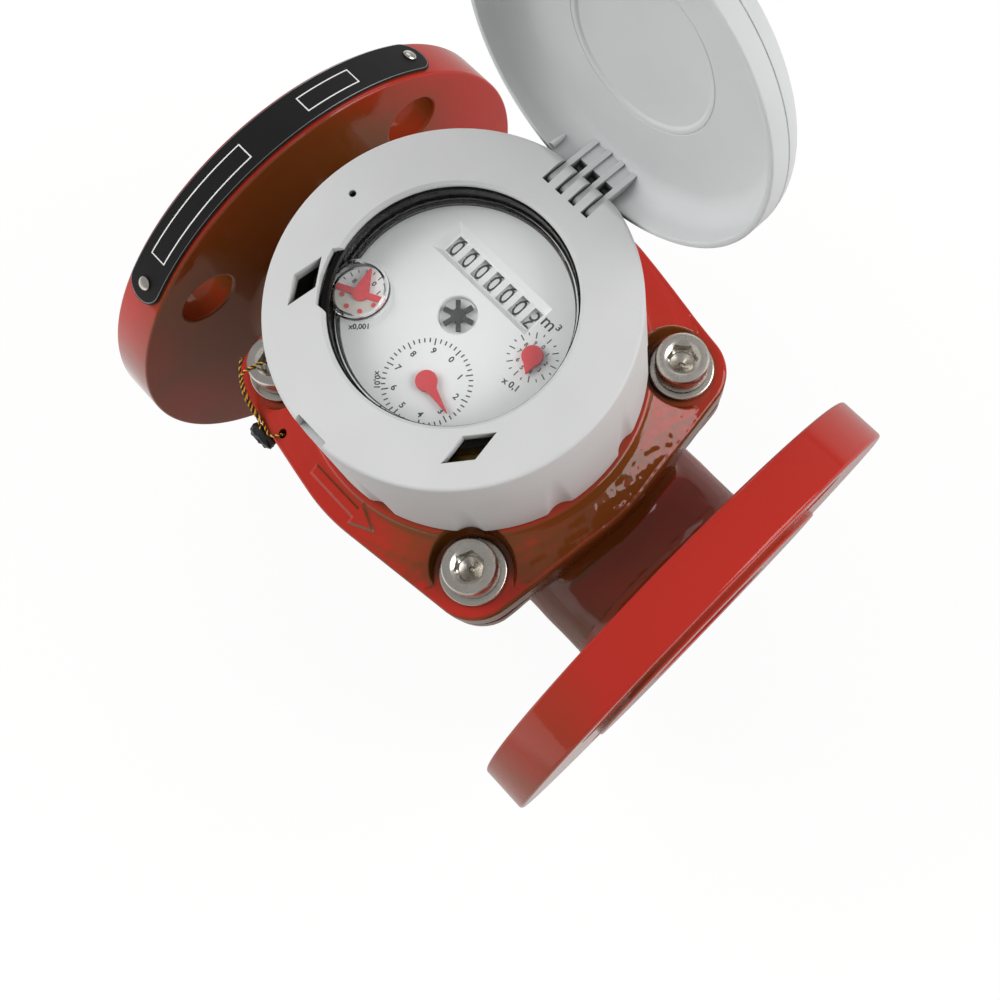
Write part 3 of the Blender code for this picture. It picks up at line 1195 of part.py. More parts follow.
def make_lid(look):
    """Lid with its four hinge ribs, the web between them, the lug windows and the snap nub."""
    lid = lid_shell()
    sill = LID_RIM_Z + LID_WINDOW_HEIGHT
    ribs = rib_places()
    first = ribs[0]
    last = ribs[-1]
    sunk = LID_WALL * 0.4
    web = [(WEB_Y, sill), (LID_SKIRT_RADIUS + sunk, sill), *skirt_arc(sunk, 63)]
    add(lid, prism("web", web, first, last, "YZ"))
    for left, right in zip(ribs, ribs[1:]):
        half = RIB_WIDTH / 2
        cut(lid, box("lug_window", (left + half, WEB_Y - 5 * MM, LID_RIM_Z - 2 * MM),
                     (right - half, LID_RADIUS + 5 * MM, sill)))
    for x in ribs:
        add(lid, prism("rib", rib_outline(), x - RIB_WIDTH / 2, x + RIB_WIDTH / 2, "YZ"))
    reach = last + 5 * MM
    cut(lid, rod("pin_hole", PIN_RADIUS + GAP, -reach, reach, COARSE_COUNT, "X", (0.0, HINGE_Y, HINGE_Z)))
    nub = math.radians(90 + (90 - SNAP_NUB_ANGLE))
    place = (LID_SKIRT_RADIUS * math.cos(nub), LID_SKIRT_RADIUS * math.sin(nub), 0.0)
    cone = [(SNAP_NUB_RADIUS, LID_RIM_Z + 0.4 * MM),
            (SNAP_NUB_RADIUS * 0.8, LID_RIM_Z + SNAP_NUB_HEIGHT * 0.5),
            (SNAP_NUB_RADIUS * 0.15, LID_RIM_Z + SNAP_NUB_HEIGHT)]
    add(lid, turned("nub", cone, COARSE_COUNT, centre=place))
    finish(lid, look, (0.0, HINGE_Y, HINGE_Z))
    lid.rotation_euler = (math.radians(-LID_OPEN_ANGLE), 0.0, 0.0)
    return lid


def make_hinge_pin(look):
    """Steel pin through the shroud's lugs and the lid's ribs."""
    half = PIN_LENGTH / 2
    return finish(rod("hinge_pin", PIN_RADIUS, -half, half, COARSE_COUNT, "X", (0.0, HINGE_Y, HINGE_Z)), look)


def rivet_angles():
    """Angles of the nameplate's two rivets about the pipe's axis, from +Y."""
    return (90.0 - RIVET_HALF_ANGLE, 90.0 + RIVET_HALF_ANGLE)


def rivet_shape(name, angle, radius, depth, head):
    """A rivet, or its hole: a shank square to the flange's rim with an optional domed head."""
    base = FLANGE_RADIUS + PLATE_THICKNESS + 2 * GAP
    profile = [(radius, base - depth), (radius, base)]
    if head:
        profile += [(RIVET_HEAD_RADIUS, base), (RIVET_HEAD_RADIUS * 0.9, base + head * 0.55),
                    (RIVET_HEAD_RADIUS * 0.45, base + head)]
    else:
        profile[1] = (radius, base + 3 * MM)
    shape = turned(name, profile, COARSE_COUNT)
    turn = Matrix.Rotation(math.radians(angle - 90.0), 4, "X")
    return transform(shape, Matrix.Translation((PLATE_CENTRE_X, 0.0, 0.0)) @ turn)


def make_nameplate(look):
    """Blank plate bent round the inlet flange's rim, with round ends."""
    low = FLANGE_RADIUS + GAP
    high = low + PLATE_THICKNESS
    half_length = math.radians(PLATE_HALF_ANGLE) * high
    end = PLATE_WIDTH / 2
    straight = half_length - end
    runs = [-half_length + end * (1 - math.cos(math.radians(a))) for a in (12, 35, 60, 90)]
    runs += [-straight + 2 * straight * i / 20 for i in range(1, 20)]
    runs += [-value for value in reversed(runs[:4])]
    rings = []
    for run in runs:
        past = max(0.0, abs(run) - straight)
        half = math.sqrt(end * end - past * past)
        a = math.pi / 2 - run / high
        corners = ((PLATE_CENTRE_X - half, low), (PLATE_CENTRE_X + half, low),
                   (PLATE_CENTRE_X + half, high), (PLATE_CENTRE_X - half, high))
        rings.append([(x, r * math.cos(a), r * math.sin(a)) for x, r in corners])
    plate = skin("nameplate", rings)
    for a in rivet_angles():
        cut(plate, rivet_shape("rivet_hole", a, RIVET_SHANK_RADIUS + GAP, RIVET_SHANK_LENGTH, 0.0))
    return finish(plate, look)


def make_rivets(look):
    """Two domed rivets that hold the nameplate."""
    made = []
    for number, a in enumerate(rivet_angles(), 1):
        name = f"nameplate_rivet_{number}"
        rivet = rivet_shape(name, a, RIVET_SHANK_RADIUS, RIVET_SHANK_LENGTH, RIVET_HEAD_HEIGHT)
        made.append(finish(rivet, look))
    return made


def smooth_route(points, samples):
    """Even samples of a Catmull-Rom curve through the route's points.

    Between b and c, with a before and d after, the curve is
    (2b + (c - a)t + (2a - 5b + 4c - d)t^2 + (3b - a - 3c + d)t^3) / 2 for t from 0 to 1.
    """
    route = [Vector(point) * MM for point in points]
    route = [2 * route[0] - route[1]] + route + [2 * route[-1] - route[-2]]
    spans = len(route) - 3
    made = []
    for i in range(samples + 1):
        place = min(spans - 1e-9, spans * i / samples)
        k = int(place)
        t = place - k
        a, b, c, d = route[k:k + 4]
        made.append(0.5 * (2 * b + (c - a) * t + (2 * a - 5 * b + 4 * c - d) * t ** 2
                           + (3 * b - a - 3 * c + d) * t ** 3))
    return made


def make_seal_wire(look):
    """Sealing wire from the screw's socket, over the cover's edge, through the seal and into the cover."""
    points = smooth_route(WIRE_ROUTE, WIRE_SAMPLES)
    curve = bpy.data.curves.new("seal_wire", "CURVE")
    curve.dimensions = "3D"
    curve.bevel_depth = WIRE_RADIUS
    curve.bevel_resolution = 2
    curve.use_fill_caps = True
    line = curve.splines.new("POLY")
    line.points.add(len(points) - 1)
    for slot, point in zip(line.points, points):
        slot.co = (*point, 1.0)
    curve.materials.append(look)
    wire = bpy.data.objects.new("seal_wire", curve)
    bpy.context.collection.objects.link(wire)
    return wire


def make_wire_seal(look):
    """Crimped seal, a short drum squeezed on the wire beside the cover's edge."""
    x, y, z = (value * MM for value in WIRE_ROUTE[10])
    half = SEAL_THICKNESS / 2
    edge = 0.6 * MM
    profile = [(SEAL_RADIUS - edge, -half), (SEAL_RADIUS, -half + edge), (SEAL_RADIUS, half - edge),
               (SEAL_RADIUS - edge, half)]
    seal = turned("wire_seal", profile, 16, "Y", (x, y, z - SEAL_DROP))
    hole = WIRE_RADIUS + 2 * GAP
    cut(seal, rod("wire_hole", hole, -SEAL_RADIUS * 2, SEAL_RADIUS * 2, COARSE_COUNT, "X", (x, y, z)))
    return finish(seal, look)


def main():
    """Build every piece and parent it to one empty at the pipe's centre."""
    clear_scene()
    red = material("red_epoxy_cast_iron", (0.45, 0.02, 0.012), 0.25)
    rubber = material("black_rubber", (0.012, 0.011, 0.01), 0.6)
    steel = material("stainless_steel", (0.62, 0.6, 0.57), 0.25, 1.0)
    brown = material("insert_plastic", (0.1, 0.1, 0.11), 0.5)
    white = material("rotor_plastic", (0.75, 0.76, 0.74), 0.4)
    brass = material("brass_can", (0.55, 0.4, 0.2), 0.35, 1.0)
    dial = material("dial_white", (0.85, 0.85, 0.85), 0.5)
    black = material("black_plastic", (0.02, 0.02, 0.02), 0.45)
    red_plastic = material("pointer_red", (0.7, 0.03, 0.04), 0.4)
    glass = material("clear_glass", (0.9, 0.95, 0.95), 0.03, 0.0, 0.25)
    grey = material("shroud_grey", (0.64, 0.66, 0.66), 0.45)
    lid_grey = material("lid_grey", (0.5, 0.52, 0.52), 0.45)
    plate = material("nameplate_black", (0.015, 0.015, 0.016), 0.4)
    brass_wire = material("wire_brass", (0.7, 0.42, 0.05), 0.4)
    pieces = [
        make_meter_body(red), make_cover_gasket(rubber), make_cover_plate(red),
        *make_screws_and_washers(steel, steel),
        make_insert_head(brown), make_turbine_housing(brown), make_flow_straightener(white),
        make_outlet_bracket(white), *make_bearings(black), make_rotor(white), make_drive_shaft(white),
        make_register_can(brass), make_movement_frame(black), *make_number_drums(dial, steel),
        make_dial_plate(dial), make_star_indicator(black),
        make_pointer("pointer_x0_01", POINTER_HUNDREDTH_PLACE, POINTER_HUNDREDTH_REACH,
                     POINTER_HUNDREDTH_ANGLE, red_plastic),
        make_pointer("pointer_x0_1", POINTER_TENTH_PLACE, POINTER_TENTH_REACH, POINTER_TENTH_ANGLE,
                     red_plastic),
        make_port_pointer(red_plastic), make_glass_gasket(rubber), make_register_glass(glass),
        make_register_shroud(grey), make_lid(lid_grey), make_hinge_pin(steel),
        make_nameplate(plate), *make_rivets(steel), make_seal_wire(brass_wire), make_wire_seal(black),
    ]
    root = bpy.data.objects.new("water_meter", None)
    bpy.context.collection.objects.link(root)
    for piece in pieces:
        piece.parent = root


main()
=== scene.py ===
"""Looks of a flanged turbine water meter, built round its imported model.

All shapes are in metres, in the model's own frame: the origin on the pipe's centreline midway between
the flange faces, +X along the flow, +Y to the side of the lid's hinge and +Z up, to the dial.
"""

import json
import math

import bmesh
import bpy
import numpy as np
from mathutils import Matrix, Vector


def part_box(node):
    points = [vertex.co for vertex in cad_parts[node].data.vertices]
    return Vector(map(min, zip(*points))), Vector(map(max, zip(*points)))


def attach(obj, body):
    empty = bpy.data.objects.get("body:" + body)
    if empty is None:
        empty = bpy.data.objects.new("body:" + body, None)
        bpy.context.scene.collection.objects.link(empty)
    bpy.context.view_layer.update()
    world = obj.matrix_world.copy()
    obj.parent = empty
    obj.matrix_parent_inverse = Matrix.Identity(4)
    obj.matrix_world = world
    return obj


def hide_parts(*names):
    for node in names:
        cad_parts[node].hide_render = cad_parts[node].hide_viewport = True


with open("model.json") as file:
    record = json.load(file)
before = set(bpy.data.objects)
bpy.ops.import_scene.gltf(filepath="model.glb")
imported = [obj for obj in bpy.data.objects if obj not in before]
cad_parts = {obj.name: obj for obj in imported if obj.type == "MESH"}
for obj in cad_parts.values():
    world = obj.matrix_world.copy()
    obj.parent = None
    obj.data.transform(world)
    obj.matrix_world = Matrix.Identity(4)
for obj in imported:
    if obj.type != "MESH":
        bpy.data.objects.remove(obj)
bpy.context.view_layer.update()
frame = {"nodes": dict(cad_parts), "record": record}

bl_info = {
    "name": "Flanged Water Meter",
    "version": (1, 0, 0),
    "blender": (4, 5, 0),
    "location": "3D View > Sidebar > Water Meter",
    "description": "Cast body, cover, register, lid and dial of a flanged turbine water meter",
    "category": "Add Mesh",
}

MM = 0.001
ROOT = "meter_assembly"
LID = "register_lid"


def corners(node):
    """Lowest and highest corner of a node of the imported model, as arrays in metres."""
    low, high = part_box(node)
    return np.array(low), np.array(high)


def joint_place(name):
    """A point on a joint's axis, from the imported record."""
    for joint in frame["record"]["behaviour"]["joints"]:
        if joint["name"] == name:
            return np.array(joint["pos_m"])
    raise KeyError(name)


BODY_LOW, BODY_HIGH = corners("meter_body")
COVER_LOW, COVER_HIGH = corners("cover_plate")
SHROUD_LOW, SHROUD_HIGH = corners("register_shroud")
GASKET_LOW, GASKET_HIGH = corners("glass_gasket")
DIAL_LOW, DIAL_HIGH = corners("dial_plate")
GLASS_LOW, GLASS_HIGH = corners("register_glass")
PLATE_LOW, PLATE_HIGH = corners("nameplate")
HINGE = joint_place("lid_hinge")
LID_OPEN = math.radians(100.5)
SCREW_PLACES = []
for screw_number in range(1, 5):
    screw_low, screw_high = corners(f"cover_screw_{screw_number}")
    SCREW_PLACES.append((screw_low + screw_high)[:2] / 2)
SCREW_SQUARE = float(np.abs(SCREW_PLACES[0][0]))
SCREW_TOP = float(screw_high[2])

BORE_RADIUS = 25.0 * MM
PIPE_RADIUS = 36.1 * MM
RAISED_FACE_RADIUS = 49.5 * MM
RAISED_FACE_HEIGHT = 1.6 * MM
FLANGE_THICKNESS = 16.0 * MM
BOLT_CIRCLE_RADIUS = 62.5 * MM
BOLT_HOLE_RADIUS = 9.5 * MM
BOLT_HOLE_LIP = 1.1 * MM
CHAMBER_RADIUS = 38.0 * MM
BOWL_RADIUS = 45.0 * MM
CHAMBER_FLOOR = -33.0 * MM
BODY_TOP = float(corners("cover_gasket")[0][2]) - 0.3 * MM
COVER_DISC_RADIUS = 62.5 * MM
COVER_CORNER_RADIUS = 13.9 * MM
SEAT_Z = float(corners("cover_washer_1")[0][2]) - 0.3 * MM
WASHER_RADIUS = 10.0 * MM
POCKET_RADIUS = 12.5 * MM
SCREW_HOLE_RADIUS = 5.3 * MM
SEAL_HOLE_PLACE = (-27.2 * MM, -55.8 * MM)
WINDOW_RADIUS = 32.9 * MM
PORT_PLACE = joint_place("pointer_x0_001_turn")[:2]
PORT_DISC_TOP = 104.6 * MM
DRUM_RADIUS = 7.4 * MM
LID_RADIUS = 49.4 * MM
LID_WALL = 1.8 * MM
LID_BEND = 7.0 * MM
LID_DEPTH = 11.1 * MM
RIB_PITCH = 4.76 * MM
RIB_WIDTH = 1.7 * MM
RIB_REACH = 4.4 * MM


def linear(code):
    """Linear RGBA of an sRGB hex colour.

    A channel c below 0.04045 becomes c / 12.92, any other ((c + 0.055) / 1.055) to the power 2.4.
    """
    channels = [int(code[i:i + 2], 16) / 255 for i in (1, 3, 5)]
    return tuple(c / 12.92 if c <= 0.04045 else ((c + 0.055) / 1.055) ** 2.4 for c in channels) + (1.0,)


def colour_property(name, description, code):
    """A colour that a user can change, with its default from an sRGB hex value."""
    return bpy.props.FloatVectorProperty(
        name=name, description=description, subtype="COLOR", size=4, min=0.0, max=1.0, default=linear(code)
    )


def length_property(name, description, default):
    """A length in metres that a user can change."""
    return bpy.props.FloatProperty(
        name=name, description=description, unit="LENGTH", default=default, min=0.0
    )


class MeterSizes(bpy.types.PropertyGroup):
    """Sizes of the finish that a user would change."""

    flange_rounding: length_property("Flange rounding", "Radius along the flanges' rims", 1.2 * MM)
    casting_fillet: length_property("Casting fillet", "Blend where the pipe meets the chamber", 5.0 * MM)
    casting_grid: length_property("Casting grid", "Cell of the blended casting's surface", 1.25 * MM)
    cover_rounding: length_property("Cover rounding", "Radius along the cover's upper edge", 1.5 * MM)
    cast_roughness: length_property("Cast roughness", "Height of the lumps in the cast surface", 0.16 * MM)
    arrow_height: length_property("Arrow height", "Height of the raised flow arrow", 0.9 * MM)
    print_height: length_property("Print height", "Thickness of the dial's print", 0.03 * MM)
    digit_height: length_property("Digit height", "Height of the drums' digits", 5.2 * MM)
    wire_strand: length_property("Wire strand", "Radius of one strand of the sealing wire", 0.2 * MM)
    slot_chamfer: length_property("Slot chamfer", "Chamfer round the shroud's recesses", 0.18 * MM)


class MeterColours(bpy.types.PropertyGroup):
    """Colours of the finish that a user would change."""

    epoxy: colour_property("Epoxy", "Red coating of the castings", "#B4281C")
    # Brown red of the painted shade in the epoxy's hollows and shaded faces, and of its random mottle.
    epoxy_deep: colour_property("Epoxy in hollows", "Coating in hollows, where dirt has gathered", "#73401A")
    shroud: colour_property("Shroud", "Grey of the register's shroud", "#D0D1D0")
    lid: colour_property("Lid", "Grey of the lid", "#D0D2D2")
    dial: colour_property("Dial", "White of the dial and the drums", "#F8F8F7")
    dial_print: colour_property("Print", "Black of the dial's print", "#1A1A1A")
    pointer: colour_property("Pointers", "Red of the pointers", "#D4313A")
    plate: colour_property("Nameplate", "Black of the nameplate", "#1B1B1C")
    steel: colour_property("Steel", "Stainless steel of the screws and washers", "#DAD5CC")
    thread_light: colour_property("Wire, light strand", "Yellow strand of the sealing wire", "#F0B020")
    thread_dark: colour_property("Wire, dark strand", "Dark strand of the sealing wire", "#1C2024")
    backdrop: colour_property("Backdrop", "Pale floor", "#FDFDFD")


def sizes():
    """The scene's sizes."""
    return bpy.context.scene.meter_sizes


def colours():
    """The scene's colours."""
    return bpy.context.scene.meter_colours


# Shapes


def shell(points, wrap_rows=False, wrap_columns=True, caps=True):
    """Vertices and faces of a grid of points[row, column].

    Each quad joins the points (i, j), (i, j + 1), (i + 1, j + 1) and (i + 1, j); a wrapped direction
    joins its last line to its first, and caps close the first and the last row with one face each.
    """
    rows, columns = points.shape[:2]
    index = np.arange(rows * columns).reshape(rows, columns)
    i = np.arange(rows if wrap_rows else rows - 1)
    j = np.arange(columns if wrap_columns else columns - 1)
    i, j = np.meshgrid(i, j, indexing="ij")
    after_i, after_j = (i + 1) % rows, (j + 1) % columns
    quads = np.stack((index[i, j], index[i, after_j], index[after_i, after_j], index[after_i, j]), axis=-1)
    faces = quads.reshape(-1, 4).tolist()
    if caps and not wrap_rows:
        faces.append(index[0, ::-1].tolist())
        faces.append(index[-1].tolist())
    return points.reshape(-1, 3), faces


def slab(outline, low, high):
    """Vertices and faces of a closed outline of (x, y) points extruded from low to high."""
    outline = np.asarray(outline, dtype=float)
    points = np.empty((2, len(outline), 3))
    points[:, :, :2] = outline
    points[0, :, 2] = low
    points[1, :, 2] = high
    return shell(points)


def merged(shells):
    """Several shells as one list of vertices and faces."""
    points, faces, start = [], [], 0
    for vertices, loops in shells:
        points.append(np.asarray(vertices, dtype=float))
        faces.extend([[start + v for v in loop] for loop in loops])
        start += len(vertices)
    return np.concatenate(points), faces


def moved(solid, matrix):
    """A shell with a 4 by 4 matrix applied to its vertices."""
    vertices, faces = solid
    turn = np.array(matrix)[:3, :3]
    shift = np.array(matrix)[:3, 3]
    return np.asarray(vertices, dtype=float) @ turn.T + shift, faces


def across_pipe(solid):
    """A shell turned from upright along +Z to lying along +X: (x, y, z) becomes (z, x, y)."""
    vertices, faces = solid
    return vertices[:, [2, 0, 1]], faces


def mesh_object(name, solid, smooth_angle=35.0):
    """A mesh object at the origin, with outward normals and smooth shading up to an angle."""
    vertices, faces = solid
    mesh = bpy.data.meshes.new(name)
    mesh.from_pydata(np.asarray(vertices, dtype=float).tolist(), [], faces)
    mesh.update()
    made = bpy.data.objects.new(name, mesh)
    bpy.context.collection.objects.link(made)
    outward(made)
    mesh.shade_smooth()
    mesh.set_sharp_from_angle(angle=math.radians(smooth_angle))
    return made


def outward(item):
    """Turn every closed shell's faces outwards."""
    shape = bmesh.new()
    shape.from_mesh(item.data)
    bmesh.ops.recalc_face_normals(shape, faces=shape.faces)
    shape.to_mesh(item.data)
    shape.free()


def apply_modifier(item):
    """Replace an object's mesh by its evaluated mesh and drop its modifiers."""
    graph = bpy.context.evaluated_depsgraph_get()
    result = bpy.data.meshes.new_from_object(item.evaluated_get(graph))
    item.modifiers.clear()
    item.data = result


# Small closed shell outside the meter, as vertices and faces.
FAR_MARKER = (np.array(((200, 0, 100), (210, 1, 101), (200, 10, 100), (200, 0, 110))) * MM,
              [[0, 2, 1], [0, 1, 3], [1, 2, 3], [0, 3, 2]])


def shaped(item, solid, operation="DIFFERENCE", smooth_angle=35.0, overlapping=False):
    """Cut a shell out of an object, or join it to the object, with an exact Boolean step.

    A cut also takes the far marker, which touches nothing. With one connected shape alone, the solver looks
    for its outer side in parallel and can end on the wrong one; with two it looks in a fixed order.
    """
    if operation == "DIFFERENCE":
        solid = merged([solid, FAR_MARKER])
    tool = mesh_object("tool", solid)
    step = item.modifiers.new("shape", "BOOLEAN")
    step.operation = operation
    step.solver = "EXACT"
    step.use_self = overlapping
    step.object = tool
    apply_modifier(item)
    bpy.data.objects.remove(tool, do_unlink=True)
    item.data.shade_smooth()
    item.data.set_sharp_from_angle(angle=math.radians(smooth_angle))
    return item


def bevelled(item, width, segments=2, angle=30.0):
    """Round an object's edges with an applied Bevel."""
    step = item.modifiers.new("edges", "BEVEL")
    step.width = width
    step.segments = segments
    step.limit_method = "ANGLE"
    step.angle_limit = math.radians(angle)
    apply_modifier(item)
    item.data.shade_smooth()
    item.data.set_sharp_from_angle(angle=math.radians(40))
    return item


def shell_of(item):
    """An object's vertices and faces as a shell, and the object removed."""
    mesh = item.data
    count = len(mesh.vertices)
    flat = np.empty(count * 3)
    mesh.vertices.foreach_get("co", flat)
    faces = [list(face.vertices) for face in mesh.polygons]
    bpy.data.objects.remove(item, do_unlink=True)
    return flat.reshape(count, 3), faces


def arc(centre, radius, first, last, steps):
    """Points of an arc between two angles in degrees, both ends included."""
    a = np.radians(np.linspace(first, last, steps + 1))
    return np.stack((centre[0] + radius * np.cos(a), centre[1] + radius * np.sin(a)), axis=-1)


def path(*parts):
    """One array of (a, b) points from single points and arcs."""
    return np.concatenate([np.atleast_2d(np.asarray(part, dtype=float)) for part in parts])


def turned(profile, steps, centre=(0.0, 0.0), looped=False, start=0.0):
    """Surface of revolution of (radius, height) points: x = r cos a, y = r sin a, z = height."""
    profile = np.asarray(profile, dtype=float)
    a = start + np.linspace(0, 2 * math.pi, steps, endpoint=False)
    points = np.empty((len(profile), steps, 3))
    points[:, :, 0] = centre[0] + profile[:, :1] * np.cos(a)
    points[:, :, 1] = centre[1] + profile[:, :1] * np.sin(a)
    points[:, :, 2] = profile[:, 1:]
    return shell(points, wrap_rows=looped)


def rod(radius, low, high, steps, centre=(0.0, 0.0)):
    """A plain cylinder along +Z."""
    return turned([(radius, low), (radius, high)], steps, centre)


def smoothstep(t):
    """3t^2 - 2t^3 with t held between 0 and 1."""
    t = np.clip(t, 0.0, 1.0)
    return t * t * (3 - 2 * t)


def smooth_least(a, b, blend):
    """Least of two distances with a blend of the given width at their crossing.

    h = clamp(1/2 + (b - a) / (2 blend)); the result is b + (a - b) h - blend h (1 - h).
    """
    h = np.clip(0.5 + 0.5 * (b - a) / blend, 0.0, 1.0)
    return b + (a - b) * h - blend * h * (1 - h)


def lumps(x, y, z, size, seed):
    """Smooth hilly noise between about -1 and 1: a sum of twelve sine waves of random directions.

    Each wave is sin(2 pi m k . p / size + phase) / m, with k a random direction and m going 1, 2, 3 in turn.
    """
    draw = np.random.default_rng(seed)
    total = np.zeros(np.broadcast(x, y, z).shape)
    for wave in range(12):
        m = 1 + wave % 3
        k = draw.normal(size=3)
        k *= m / np.linalg.norm(k)
        along = (x * k[0] + y * k[1] + z * k[2]) / size
        total += np.sin(along * 2 * math.pi + draw.uniform(0, 6.3)) / m
    return total / 5


def rounded_corner(a, b, r):
    """Distance to a corner of radius r between two faces whose distances, set back by r, are a and b.

    It is hypot(max(a, 0), max(b, 0)) + min(max(a, b), 0) - r.
    """
    return np.hypot(np.maximum(a, 0), np.maximum(b, 0)) + np.minimum(np.maximum(a, b), 0) - r


def hull_outline(disc, corner, square, steps):
    """Outline round a disc and four corner circles with their common tangents.

    In each quarter the tangent's normal leaves the diagonal by acos((R - r) / d), where R and r are the
    radii and d is the distance between the centres.
    """
    diagonal = square * math.sqrt(2)
    spread = math.degrees(math.acos((disc - corner) / diagonal))
    parts = []
    for quarter in range(4):
        middle = 45.0 + 90.0 * quarter
        place = (diagonal * math.cos(math.radians(middle)), diagonal * math.sin(math.radians(middle)))
        parts.append(arc((0, 0), disc, middle - 90 + spread, middle - spread, steps))
        parts.append(arc(place, corner, middle - spread, middle + spread, steps * 3))
    loop = np.concatenate(parts)
    following = np.roll(loop, -1, axis=0)
    gap = np.linalg.norm(following - loop, axis=1)
    longest = math.pi * disc / steps / 14
    filled = []
    for point, after, length in zip(loop, following, gap):
        parts_here = max(1, int(length / longest))
        filled.append(point + (after - point) * (np.arange(parts_here) / parts_here)[:, None])
    filled = np.concatenate(filled)
    apart = np.linalg.norm(np.roll(filled, -1, axis=0) - filled, axis=1) > 1e-7
    return filled[apart]


def outline_distance(x, y, disc, corner, square):
    """Distance to the outline above, negative inside.

    By symmetry only x >= y >= 0 counts. Beyond the tangent's touching points the distance is to the disc
    or to the corner circle, and between them it is the height over the tangent.
    """
    x, y = np.abs(x), np.abs(y)
    x, y = np.maximum(x, y), np.minimum(x, y)
    diagonal = square * math.sqrt(2)
    normal_angle = math.pi / 4 - math.acos((disc - corner) / diagonal)
    n = np.array((math.cos(normal_angle), math.sin(normal_angle)))
    t = np.array((-n[1], n[0]))
    along = x * t[0] + y * t[1]
    flat = x * n[0] + y * n[1] - disc
    at_corner = square * t[0] + square * t[1]
    to_disc = np.hypot(x, y) - disc
    to_corner = np.hypot(x - square, y - square) - corner
    return np.where(along < 0, to_disc, np.where(along > at_corner, to_corner, flat))


def surface_net(field, origin, step):
    """Closed surface where a field on a grid of cells crosses nought.

    Each cell whose eight corners differ in sign gets one vertex, the mean of the crossing points on its
    edges. Each grid edge with a crossing gets one quad, between the vertices of the four cells round it.
    """
    inside = field < 0
    cells = np.array(field.shape) - 1
    parts = [(slice(0, n), slice(1, n + 1)) for n in cells]
    total = np.zeros(tuple(cells) + (3,))
    hits = np.zeros(tuple(cells))
    for axis in range(3):
        other = [a for a in range(3) if a != axis]
        for p in (0, 1):
            for q in (0, 1):
                first, second = [None] * 3, [None] * 3
                first[axis], second[axis] = parts[axis]
                first[other[0]] = second[other[0]] = parts[other[0]][p]
                first[other[1]] = second[other[1]] = parts[other[1]][q]
                a, b = field[tuple(first)], field[tuple(second)]
                crossing = inside[tuple(first)] != inside[tuple(second)]
                share = np.where(crossing, a / np.where(crossing, a - b, 1.0), 0.0)
                total[..., axis] += share
                total[..., other[0]] += crossing * p
                total[..., other[1]] += crossing * q
                hits += crossing
    used = hits > 0
    number = np.full(tuple(cells), -1)
    number[used] = np.arange(used.sum())
    place = np.stack(np.nonzero(used), axis=-1) + total[used] / hits[used][:, None]
    faces = []
    for axis in range(3):
        u, v = (axis + 1) % 3, (axis + 2) % 3
        first = [slice(1, -1)] * 3
        second = [slice(1, -1)] * 3
        first[axis], second[axis] = slice(0, -1), slice(1, None)
        a, b = inside[tuple(first)], inside[tuple(second)]
        where = np.stack(np.nonzero(a != b), axis=-1)
        shift = np.ones(3, dtype=int)
        shift[axis] = 0
        where = where + shift
        solid_first = inside[tuple(where.T)]
        ring = []
        for du, dv in ((-1, -1), (0, -1), (0, 0), (-1, 0)):
            cell = where.copy()
            cell[:, u] += du
            cell[:, v] += dv
            ring.append(number[tuple(cell.T)])
        ring = np.stack(ring, axis=-1)
        faces.append(np.where(solid_first[:, None], ring, ring[:, ::-1]))
    return origin + place * step, np.concatenate(faces).tolist()


def lettering(text, height, thickness, centre=(0.0, 0.0), angle=0.0, wide=1.0, bold=0.012, align="CENTER"):
    """A word as a thin solid, centred on a point, with its capitals of the given height along +Y."""
    curve = bpy.data.curves.new("word", "FONT")
    curve.body = text
    curve.align_x = align
    curve.align_y = "CENTER"
    curve.extrude = 0.5
    curve.offset = bold
    curve.resolution_u = 3
    item = bpy.data.objects.new("word", curve)
    bpy.context.collection.objects.link(item)
    graph = bpy.context.evaluated_depsgraph_get()
    mesh = bpy.data.meshes.new_from_object(item.evaluated_get(graph))
    bpy.data.objects.remove(item, do_unlink=True)
    count = len(mesh.vertices)
    flat = np.empty(count * 3)
    mesh.vertices.foreach_get("co", flat)
    points = flat.reshape(count, 3)
    faces = [list(face.vertices) for face in mesh.polygons]
    capital = 0.69
    middle = (points.min(0) + points.max(0)) / 2
    points = points - (middle if align == "CENTER" else np.array((0, middle[1], 0)))
    scaled = points * (height / capital * wide, height / capital, thickness)
    turn = Matrix.Translation((*centre, 0.0)) @ Matrix.Rotation(angle, 4, "Z")
    return moved((scaled, faces), turn)


def swept(centre_line, radius, sides, squeeze=None):
    """Round tube along a line of points, carried without twist.

    Each section is p + radius (n cos a + b sin a); n is the one before with its part along the tangent
    taken out, and b is tangent x n.
    """
    line = np.asarray(centre_line, dtype=float)
    tangent = np.gradient(line, axis=0)
    tangent /= np.linalg.norm(tangent, axis=1)[:, None]
    normal = np.empty_like(line)
    start = np.cross(tangent[0], (0.3, 0.5, 0.8))
    normal[0] = start / np.linalg.norm(start)
    for k in range(1, len(line)):
        carried = normal[k - 1] - tangent[k] * normal[k - 1].dot(tangent[k])
        normal[k] = carried / np.linalg.norm(carried)
    side = np.cross(tangent, normal)
    a = np.linspace(0, 2 * math.pi, sides, endpoint=False)
    width = radius * (np.ones(len(line)) if squeeze is None else squeeze)
    ring = normal[:, None] * np.cos(a)[None, :, None] + side[:, None] * np.sin(a)[None, :, None]
    return shell(line[:, None] + width[:, None, None] * ring), normal, side


